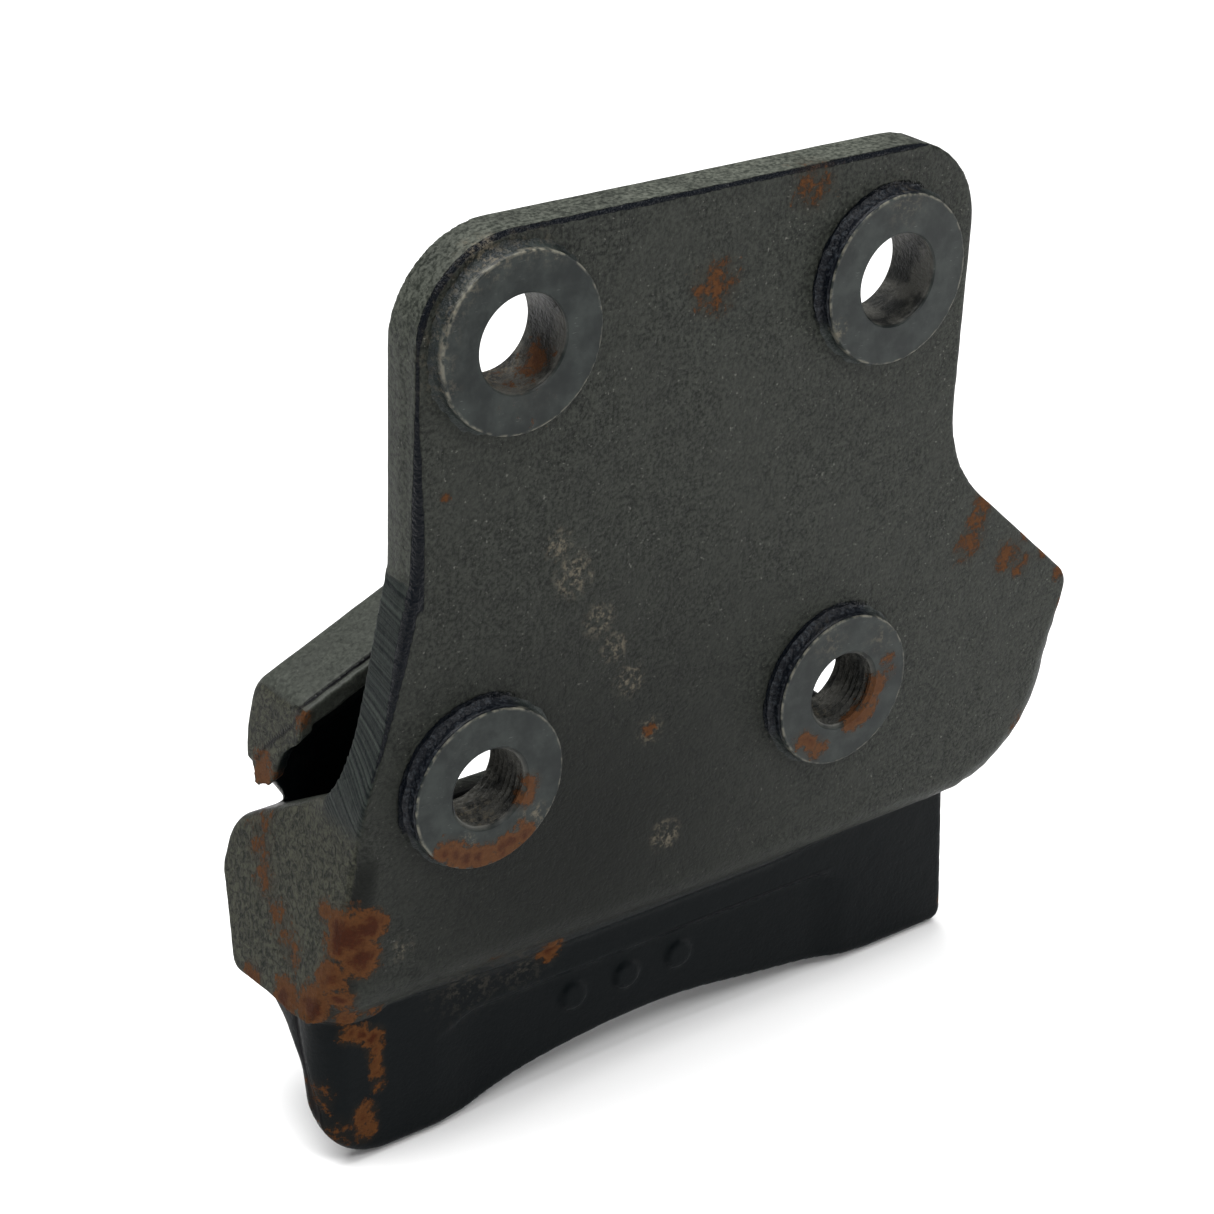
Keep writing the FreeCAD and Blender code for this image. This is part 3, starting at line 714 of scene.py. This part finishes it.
def edge_depth(places):
    """How far inside the upper plate's outline a point lies."""
    radius = np.hypot(places.x + HALF_WIDTH - CORNER_ROUND, places.z - PLATE_TOP + CORNER_ROUND)
    corner = (places.x < CORNER_ROUND - HALF_WIDTH) & (places.z > PLATE_TOP - CORNER_ROUND)
    straight = np.minimum(places.x + HALF_WIDTH, PLATE_TOP - places.z)
    return np.where(corner, CORNER_ROUND - radius, straight)


def bevel_and_boss_shade_field(places):
    """Painted shade in glossy blue-black: the dark bevelled left edge and the upper left of each boss.
    """
    left = fade(places.x, -25, -50)
    width = 1.1 + 1.3 * fade(places.z, 42, 8)
    depth = edge_depth(places)
    edge = fade(depth, width + 0.4, width - 0.3) * fade(places.y, 3.5 + width, 3.1 + width * 0.7)
    edge = edge * np.maximum(left, 0.8 * fade(places.z, 60, 66)) * fade(places.z, -4, 0)
    taper = 0.5 + 1.8 * fade(places.z, -34, -2)
    trimmed = fade(trim_distance(places), -taper - 0.3, -taper + 0.3)
    trimmed = trimmed * fade(places.y, 3.6 + taper, 3.2 + taper * 0.7)
    edge = np.maximum(edge, trimmed * (places.z < -2) * fade(places.z, -40, -32))
    # Painted shade on each boss's root, on its upper left side only.
    boss_shade = np.zeros_like(edge)
    for name, centre in BORES.items():
        across, above = places.x - centre.x, places.z - centre.z
        turn = (above - across) / (np.hypot(across, above) + 1e-6) / math.sqrt(2)
        ring = fade(np.hypot(across, above), 20.0, 18.4) * (places.y > 0.3) * (places.y < 6)
        share = 0.35 if name.startswith("upper_left") else 0.8
        boss_shade = np.maximum(boss_shade, share * ring * fade(turn, 0.0, 0.7))
    return np.maximum(edge, boss_shade)


def cheek_border(places):
    """How far back the smooth rounding reaches on the end cheek before the rough face starts."""
    return 12.0 + 5.0 * fade(places.z, -66, -84)


def edge_light_field(places):
    """Painted light: paler on the plate's top and left edge, more so toward the top, and a painted
    highlight line along the cheek's rough face.
    """
    depth = edge_depth(places)
    edge = fade(depth, 1.1, 0.5) * (places.z > -3) * (places.y > 3.9) * (places.y < PLATE_BACK + 0.5)
    border = fade(np.abs(places.y - cheek_border(places)), 0.6, 0.2)
    border = border * fade(trim_distance(places), -1.5, -0.5)
    border = border * fade(places.z, -50, -54) * fade(places.z, -84, -76)
    return np.maximum(edge * (0.35 + 0.65 * fade(places.z, 40, 66)), 0.8 * border)


def crease_shade_field(places):
    """Lines of painted shade: round the flash, in the foot's crevice and along the top of its panel."""
    drop = ridge_drop(places)
    crease_shade = fade(np.abs(outline_distance(CRACK + CRACK[-2:0:-1], places.y, drop)), 0.55, 0.15)
    crease_shade = crease_shade * fade(trim_distance(places), -1.2, -0.5)
    above = fade(np.abs(places.y - 32.4), 0.5, 0.15) * (np.abs(drop) < 1.0)
    crease_shade = np.maximum(crease_shade, above) * (places.y > 29) * (places.x < -1)
    crevice = fade(np.abs(behind_crevice(places)), 1.3, 0.6)
    crevice = crevice * fade(places.x, -79, -82) * (places.z < -90) * fade(places.z, -122, -114)
    lip = fade(np.abs(places.z - PANEL_TOP), 0.6, 0.2) * (places.y < 12)
    lip = 0.7 * lip * fade(places.x, -8, 12) * fade(places.x, 50, 42)
    return np.maximum.reduce([crease_shade, crevice, lip])


def lower_plate_shade_field(places):
    """Painted shade: darker low on the plate's left half and on the cheek's rounded front edge."""
    lower_plate_shade = np.exp(-((places.x + 28) / 55) ** 2 - ((places.z + 64) / 48) ** 2) * fade(places.y, 12, 8)
    rounding = fade(trim_distance(places), -7, -3) * fade(places.y, cheek_border(places), 10)
    return np.maximum(lower_plate_shade, rounding * fade(places.z, -48, -54) * (places.z > PLATE_BOTTOM))


def dark_foot_and_shade_field(places):
    """Near-black lower part: the foot's dark paint deepened by painted shade, plus painted shade under
    the plate's corner and inside the trough.
    """
    soft = 0.8 + 3.0 * fade(places.x, -70, -40) * fade(places.x, 70, 35)
    low = fade(above_seam(places), soft + 0.8, -0.6) * (places.y < 40)
    off_plate = fade(outline_distance(plate_outline(), places.x, places.z), -1.8, 0.3)
    under_corner = off_plate * (places.y < PLATE_BACK) * fade(places.x, 38, 60)
    low = np.maximum(low, under_corner * (places.z < PLATE_BOTTOM + 12))
    # Painted shade on the trough's sloping underside and in its low inside corner.
    trough = fade(places.y, 33.5, 35) * fade(ridge_drop(places), -4.2, -5.5)
    trough = trough * (places.y < WEB_FRONT + 1) * fade(trim_distance(places), -0.6, -1.6)
    trough = trough * (places.z > FLOOR - 1)
    inner = fade(places.y, PLATE_BACK - 0.5, PLATE_BACK + 0.5) * (places.y < WEB_FRONT)
    inner = inner * (places.z < FLOOR + 12) * (places.z > FLOOR - 3)
    inner = inner * fade(places.x, CHEEK_INNER - 1, CHEEK_INNER + 1)
    return np.maximum.reduce([low, trough, inner])


def score_field(places):
    """Coordinate that runs across the tool marks: each mark is a line where it is constant."""
    lean = 0.17 + 0.67 * fade(places.z, -8, -44)
    return places.z - lean * places.y


def boss_fields(places):
    """Bright worn edges of the boss rims, and the walls of the bores behind the faces."""
    wear = bore = np.zeros(len(places.x))
    for name, centre in BORES.items():
        rim, wall = (UPPER_RIM, UPPER_BORE) if "bore" in name else (LOWER_RIM, THREAD_ROOT)
        away = np.hypot(places.x - centre.x, places.z - centre.z)
        wear = np.maximum(wear, fade(np.abs(away - rim + 0.1), 0.45, 0.1) * (places.y < 0.7))
        bore = np.maximum(bore, (away < wall + 0.1) * fade(places.y, 0.1, 0.6))
    return wear, bore


def add_marks(piece, bosses):
    """Store where the marks lie on each vertex of a piece, for its finish to read."""
    mesh = piece.data
    points = np.empty(len(mesh.vertices) * 3, dtype=np.float32)
    mesh.vertices.foreach_get("co", points)
    points = points.reshape(-1, 3) / MM - np.array(CENTRE)
    places = Places(points)
    cut = fade(trim_distance(places), -0.75, -0.4) * (places.z < 3)
    sawn = cut * fade(places.y, 18, 15) * fade(places.z, -50, -44)
    wear, bore = boss_fields(places)
    fields = {
        "rust": patch_field(points, RUST),
        "dust": patch_field(points, DUST),
        "bevel_and_boss_shade": bevel_and_boss_shade_field(places),
        "foot": dark_foot_and_shade_field(places),
        "lower_plate_shade": lower_plate_shade_field(places),
        "edge": edge_light_field(places) * (not bosses),
        "crease_shade": crease_shade_field(places),
        "cut": cut * (not bosses),
        "sawn": sawn * (not bosses),
        "score": score_field(places),
        "wear": wear * bosses,
        "bore": bore * bosses,
    }
    for name, values in fields.items():
        layer = mesh.attributes.new(name, "FLOAT", "POINT")
        layer.data.foreach_set("value", np.asarray(values, dtype=np.float32).ravel())


# ------------------------ finishes


class Finish:
    """Node material built up by small steps; lengths are in mm."""

    def __init__(self, name):
        self.material = bpy.data.materials.new(name)
        self.material.use_nodes = True
        self.tree = self.material.node_tree
        self.shader = self.tree.nodes["Principled BSDF"]
        place = self.node("ShaderNodeTexCoord").outputs["Object"]
        self.place = self.vector("SCALE", place, scale=1 / MM)

    def node(self, kind, **settings):
        node = self.tree.nodes.new(kind)
        for name, value in settings.items():
            setattr(node, name, value)
        return node

    def feed(self, socket, value):
        """Link an output into a socket, or set the socket if the value is a plain number."""
        if isinstance(value, bpy.types.NodeSocket):
            self.tree.links.new(value, socket)
        else:
            socket.default_value = value

    def vector(self, operation, first, second=None, scale=None):
        node = self.node("ShaderNodeVectorMath", operation=operation)
        self.feed(node.inputs[0], first)
        if second is not None:
            self.feed(node.inputs[1], second)
        if scale is not None:
            node.inputs["Scale"].default_value = scale
        return node.outputs["Vector"]

    def math(self, operation, *values):
        node = self.node("ShaderNodeMath", operation=operation)
        for socket, value in zip(node.inputs, values):
            self.feed(socket, value)
        return node.outputs[0]

    def add(self, *values):
        total = values[0]
        for value in values[1:]:
            total = self.math("ADD", total, value)
        return total

    def times(self, *values):
        total = values[0]
        for value in values[1:]:
            total = self.math("MULTIPLY", total, value)
        return total

    def step(self, value, start, stop, low=0.0, high=1.0):
        """Smooth step of a value between two levels."""
        node = self.node("ShaderNodeMapRange", interpolation_type="SMOOTHSTEP")
        for socket, number in zip(node.inputs, (value, start, stop, low, high)):
            self.feed(socket, number)
        return node.outputs["Result"]

    def noise(self, size, detail=3.0, roughness=0.55, where=None, distortion=0.0):
        """Noise whose features are about the given size, mm."""
        node = self.node("ShaderNodeTexNoise")
        self.feed(node.inputs["Vector"], where or self.place)
        node.inputs["Scale"].default_value = 1 / size
        node.inputs["Detail"].default_value = detail
        node.inputs["Roughness"].default_value = roughness
        node.inputs["Distortion"].default_value = distortion
        return node.outputs["Fac"]

    def streaks(self, size, detail=2.0):
        """Noise drawn out along the tool marks."""
        node = self.node("ShaderNodeTexNoise", noise_dimensions="1D")
        self.feed(node.inputs["W"], self.mark("score"))
        node.inputs["Scale"].default_value = 1 / size
        node.inputs["Detail"].default_value = detail
        return node.outputs["Fac"]

    def mark(self, name):
        return self.node("ShaderNodeAttribute", attribute_name=name).outputs["Fac"]

    def split(self):
        """The x, y and z of the place, mm in the part's frame."""
        node = self.node("ShaderNodeSeparateXYZ")
        self.feed(node.inputs[0], self.place)
        return node.outputs

    def blend(self, share, first, second):
        """Colour that goes from first to second as share goes from 0 to 1."""
        node = self.node("ShaderNodeMix", data_type="RGBA")
        self.feed(node.inputs["Factor"], share)
        for socket, colour in ((node.inputs[6], first), (node.inputs[7], second)):
            if isinstance(colour, tuple):
                colour = (*colour, 1.0)
            self.feed(socket, colour)
        return node.outputs[2]

    def mix(self, share, first, second):
        """Number that goes from first to second as share goes from 0 to 1."""
        node = self.node("ShaderNodeMix", data_type="FLOAT")
        self.feed(node.inputs[0], share)
        self.feed(node.inputs[2], first)
        self.feed(node.inputs[3], second)
        return node.outputs[0]

    def close(self, colour, roughness, height, specular):
        """Join the finished colour, roughness and relief (mm) to the shader."""
        self.feed(self.shader.inputs["Base Color"], colour)
        self.feed(self.shader.inputs["Roughness"], roughness)
        self.shader.inputs["Specular IOR Level"].default_value = specular
        bump = self.node("ShaderNodeBump")
        bump.inputs["Strength"].default_value = 1.0
        bump.inputs["Distance"].default_value = MM
        self.feed(bump.inputs["Height"], height)
        self.feed(self.shader.inputs["Normal"], bump.outputs["Normal"])
        return self.material


def add_rust(finish, colour, roughness, height):
    """Lay rust and dust over a finish, where the marks say."""
    ragged = finish.noise(3.4, detail=6.0, roughness=0.72)
    grit = finish.noise(0.8, detail=4.0, roughness=0.75)
    fray = finish.add(finish.times(finish.add(ragged, -0.5), 2.2),
                      finish.times(finish.add(grit, -0.5), 0.9))
    field = finish.add(finish.mark("rust"), fray)
    stain = finish.times(finish.step(field, -0.55, 0.2), finish.step(finish.mark("rust"), -0.2, 0.2))
    rust = finish.step(field, 0.10, 0.36)
    core = finish.step(field, 0.45, 1.0)
    rim_tone = finish.blend(grit, (0.026, 0.010, 0.004), (0.120, 0.047, 0.015))
    core_tone = finish.blend(grit, (0.010, 0.0036, 0.002), (0.062, 0.015, 0.0045))
    rust_tone = finish.blend(core, rim_tone, core_tone)
    speck = finish.step(finish.noise(1.6, detail=6.0, roughness=0.8), 0.49, 0.60)
    dust = finish.times(finish.step(finish.mark("dust"), -0.1, 0.7), speck)
    colour = finish.blend(finish.times(dust, 0.7), colour, (0.135, 0.118, 0.088))
    colour = finish.blend(finish.times(stain, 0.4), colour, (0.020, 0.0125, 0.0060))
    colour = finish.blend(finish.times(rust, 0.9), colour, rust_tone)
    roughness = finish.mix(finish.math("MAXIMUM", rust, dust), roughness, 0.85)
    height = finish.add(height, finish.times(rust, finish.add(grit, 0.3), 0.16))
    return colour, roughness, height


def forged_finish(name, specular, tone=1.0, grain=1.0):
    """Satin charcoal paint over a rough forged skin, with the sawn and rusty places, and painted light
    and shade.
    """
    finish = Finish(name)
    skin = finish.noise(0.85, detail=4.0, roughness=0.65)
    pits = finish.noise(2.2, roughness=0.6)
    blotch = finish.noise(16.0, detail=4.0, roughness=0.6)
    foot = finish.mark("foot")
    spread = 0.13 / grain
    shade = finish.step(finish.add(finish.times(skin, 0.75), finish.times(pits, 0.25)),
                        0.5 - spread, 0.5 + spread)
    dark = tuple(tone * part for part in (0.0050, 0.0058, 0.0048))
    light = tuple(tone * part for part in (0.0340, 0.0370, 0.0310))
    colour = finish.blend(shade, dark, light)
    colour = finish.blend(finish.step(blotch, 0.42, 0.7, 0.0, 0.4), colour, (0.026, 0.028, 0.024))
    fleck = finish.step(finish.noise(0.75, detail=2.0), 0.68, 0.76)
    colour = finish.blend(finish.times(fleck, 0.8 * grain), colour, (0.13, 0.13, 0.115))
    # Painted shade, low on the plate's left half and on the cheek's rounded front edge.
    colour = finish.blend(finish.times(finish.mark("lower_plate_shade"), 0.86), colour, (0.0030, 0.0036, 0.0030))
    # Painted light on the top and left edges, and a painted highlight line along the cheek's border.
    edge = finish.times(finish.mark("edge"), finish.step(blotch, 0.25, 0.6, 0.35, 1.0))
    edge_light_tone = finish.blend(shade, (0.016, 0.019, 0.015), (0.070, 0.075, 0.062))
    colour = finish.blend(edge, colour, edge_light_tone)
    # Near-black foot, partly dark paint and partly painted shade; painted shade in the trough and under
    # the plate's corner.
    colour = finish.blend(finish.times(foot, 0.94), colour, (0.0012, 0.0024, 0.0032))

    cut, sawn = finish.mark("cut"), finish.mark("sawn")
    fibre = finish.noise(1.25, detail=5.0, roughness=0.72, distortion=0.8)
    streak = finish.add(finish.times(finish.streaks(1.1, detail=5.0), 0.72), finish.times(fibre, 0.28))
    streak = finish.step(streak, 0.40, 0.62)
    coarse = finish.step(finish.streaks(6.0), 0.42, 0.6)
    sawn_tone = finish.blend(streak, (0.0025, 0.0045, 0.0048), (0.026, 0.032, 0.028))
    sawn_tone = finish.blend(finish.times(coarse, 0.5), sawn_tone, (0.006, 0.009, 0.009))
    rough_tone = finish.blend(finish.step(fibre, 0.38, 0.64), (0.0050, 0.0060, 0.0042),
                              (0.044, 0.045, 0.031))
    colour = finish.blend(cut, colour, rough_tone)
    colour = finish.blend(sawn, colour, sawn_tone)
    # Painted shade: blue-black on the bevelled left edge and round the bosses' upper left, made glossier
    # there.
    bevel_and_boss_shade = finish.step(finish.add(finish.mark("bevel_and_boss_shade"), finish.times(finish.add(pits, -0.5), 0.8)),
                      0.35, 0.65)
    colour = finish.blend(bevel_and_boss_shade, colour, (0.0022, 0.0032, 0.0050))
    # Painted shade in the crack round the flash, in the foot's crevice and along the panel's top.
    crease_shade = finish.mark("crease_shade")
    colour = finish.blend(crease_shade, colour, (0.003, 0.003, 0.004))

    roughness = finish.add(0.38, finish.times(shade, 0.18), finish.times(foot, -0.06))
    roughness = finish.mix(cut, roughness, 0.58)
    roughness = finish.mix(bevel_and_boss_shade, roughness, 0.18)
    height = finish.add(finish.times(skin, 0.24), finish.times(pits, 0.24))
    height = finish.times(height, finish.mix(foot, grain, 0.35))
    height = finish.times(height, finish.mix(edge, 1.0, 0.4))
    height = finish.add(height, finish.times(cut, finish.add(1.0, finish.times(sawn, -0.8)), fibre, 0.8))
    height = finish.add(height, finish.times(sawn, streak, 0.30))
    height = finish.add(height, finish.times(bevel_and_boss_shade, finish.noise(0.9, detail=2.0), 0.4))
    height = finish.add(height, finish.times(crease_shade, -0.5))
    colour, roughness, height = add_rust(finish, colour, roughness, height)
    return finish.close(colour, roughness, height, specular)


def boss_finish(name):
    """Machined face under thin dark paint, worn bright at the rim, with a forged root that carries
    painted shade on its upper left.
    """
    finish = Finish(name)
    skin = finish.noise(0.9, roughness=0.6)
    smear = finish.noise(7.0, detail=4.0, roughness=0.65)
    stretch = finish.vector("MULTIPLY", finish.place, (0.25, 1.0, 1.6))
    scratch = finish.step(finish.noise(0.5, detail=2.0, where=stretch), 0.66, 0.72)
    colour = finish.blend(finish.step(smear, 0.35, 0.7), (0.0065, 0.0090, 0.0088),
                          (0.022, 0.027, 0.025))
    colour = finish.blend(finish.times(scratch, finish.step(smear, 0.45, 0.6), 0.5), colour,
                          (0.12, 0.125, 0.12))
    chips = finish.step(finish.noise(2.2, detail=4.0), 0.42, 0.60)
    wear = finish.times(finish.mark("wear"), chips, 0.8)
    colour = finish.blend(wear, colour, (0.13, 0.125, 0.10))
    bare_wall = finish.blend(finish.step(smear, 0.4, 0.6), (0.012, 0.012, 0.011),
                             (0.085, 0.082, 0.072))
    colour = finish.blend(finish.times(finish.mark("bore"), 0.7), colour, bare_wall)
    # Painted shade on the boss's root at its upper left, in grainy blue-black, made glossier.
    bevel_and_boss_shade = finish.step(finish.add(finish.mark("bevel_and_boss_shade"), finish.times(finish.add(skin, -0.5), 0.5)),
                      0.25, 0.6)
    grain = finish.step(finish.noise(0.9, roughness=0.7), 0.48, 0.66)
    boss_shade_tone = finish.blend(grain, (0.0024, 0.0034, 0.0056), (0.022, 0.026, 0.031))
    colour = finish.blend(bevel_and_boss_shade, colour, boss_shade_tone)
    roughness = finish.mix(bevel_and_boss_shade, finish.add(0.30, finish.times(smear, 0.25)), 0.28)
    forged = finish.step(finish.split()["Y"], 0.5, 1.2)
    height = finish.times(skin, finish.mix(forged, 0.02, 0.55))
    height = finish.add(height, finish.times(finish.mark("wear"), skin, 0.1))
    colour, roughness, height = add_rust(finish, colour, roughness, height)
    return finish.close(colour, roughness, height, BOSS_SPECULAR)


# ------------------------ studio


CAMERA_PLACE = (-0.27495, -0.3802, 0.1864)
CAMERA_TURN = (-37.86, 26.97, 2.30)        # azimuth, elevation and roll, degrees


def make_camera():
    """Camera at the photo's angle: from the front left and above, leaning a little."""
    azimuth, elevation, roll = (math.radians(angle) for angle in CAMERA_TURN)
    back = Vector((math.sin(azimuth) * math.cos(elevation),
                   -math.cos(azimuth) * math.cos(elevation), math.sin(elevation)))
    level = Vector((math.cos(azimuth), math.sin(azimuth), 0))
    upright = back.cross(level)
    right = level * math.cos(roll) + upright * math.sin(roll)
    above = upright * math.cos(roll) - level * math.sin(roll)
    pose = Matrix((right, above, back)).transposed().to_4x4()
    pose.translation = Vector(CAMERA_PLACE)
    data = bpy.data.cameras.new("camera")
    data.lens = 84.0
    data.sensor_width = 36.0
    data.shift_x = 0.00124
    data.shift_y = 0.0026
    camera = bpy.data.objects.new("camera", data)
    camera.matrix_world = pose
    bpy.context.scene.collection.objects.link(camera)
    bpy.context.scene.camera = camera


def make_floor():
    """Plain pale floor under the foot."""
    finish = Finish("floor_pale")
    tone = finish.blend(finish.noise(60.0, detail=2.0), (0.90, 0.90, 0.90), (0.94, 0.94, 0.94))
    finish.feed(finish.shader.inputs["Base Color"], tone)
    finish.shader.inputs["Roughness"].default_value = 0.8
    finish.shader.inputs["Specular IOR Level"].default_value = 0.1
    bpy.ops.mesh.primitive_plane_add(size=8.0, location=(0, 0, CAD_BOX[0][2] - 0.0005))
    floor = bpy.context.object
    floor.name = "floor"
    floor.data.materials.append(finish.material)


def make_lamp(name, place, aim, size, power):
    """Square soft light at a place, aimed at a point."""
    data = bpy.data.lights.new(name, "AREA")
    data.energy = power
    data.size = size
    lamp = bpy.data.objects.new(name, data)
    lamp.location = place
    lamp.rotation_euler = (Vector(aim) - Vector(place)).to_track_quat("-Z", "Y").to_euler()
    bpy.context.scene.collection.objects.link(lamp)


def make_studio():
    """Camera, floor, soft lights and an even white surround."""
    make_camera()
    make_floor()
    middle = (0.055, 0.02, -0.07)
    make_lamp("key", (-0.30, 0.12, 0.62), middle, 0.45, 4.2)
    make_lamp("front", (0.00, -0.42, 0.50), (0.05, 0.0, 0.0), 0.25, 2.0)
    make_lamp("right", (0.55, -0.35, 0.0), (0.13, 0.0, -0.12), 0.25, 1.2)
    make_lamp("overhead", (0.0, 0.3, 2.2), middle, 2.0, 80.0)
    world = bpy.data.worlds.new("studio")
    bpy.context.scene.world = world
    world.use_nodes = True
    background = world.node_tree.nodes["Background"]
    background.inputs["Color"].default_value = (1.0, 1.0, 1.0, 1.0)
    background.inputs["Strength"].default_value = 0.26
    bpy.context.scene.view_settings.view_transform = "Standard"


# ------------------------ assembly

# The bosses, which are not listed, take boss_metal.
SLOTS = {
    "bolt_plate": "plate_paint",
    "base_beam": "plate_paint",
    "rear_web": "plate_paint",
    "left_end_cheek": "trimmed_end",
    "left_top_flange": "flange_paint",
    "right_top_flange": "flange_paint",
    "flange_flash_rib": "flange_paint",
    "foot_front_wall": "foot_paint",
    "foot_rear_rib": "foot_paint",
}

BOSS_SPECULAR = 0.15

# Specular level, how pale the paint is and how strong its grain is, for each forged finish.
LOOKS = {
    "plate_paint": (0.08, 1.0, 1.0),
    "trimmed_end": (0.08, 1.0, 1.0),
    # The flange's paler tone is painted light on its lit top faces.
    "flange_paint": (0.12, 1.6, 0.4),
    "foot_paint": (0.045, 0.8, 0.6),
}


def place_piece(piece, node, finishes):
    """Put a piece on the bracket in place of its node, with its marks and finish."""
    slot = SLOTS.get(node, "boss_metal")
    piece.data.materials.append(finishes[slot])
    add_marks(piece, slot == "boss_metal")
    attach(piece, "root")
    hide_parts(node)


def main():
    finishes = {slot: forged_finish(slot, *look) for slot, look in LOOKS.items()}
    finishes["boss_metal"] = boss_finish("boss_metal")
    for node in FORGED:
        place_piece(make_forged_piece(node), node, finishes)
    place_piece(make_flash_rib(), "flange_flash_rib", finishes)
    for seed, corner in enumerate(("upper_left", "upper_right")):
        place_piece(make_upper_boss(corner, seed), f"{corner}_boss", finishes)
    for seed, corner in enumerate(("lower_left", "lower_right"), start=10):
        place_piece(make_lower_boss(corner, seed), f"{corner}_threaded_boss", finishes)
    make_studio()


main()
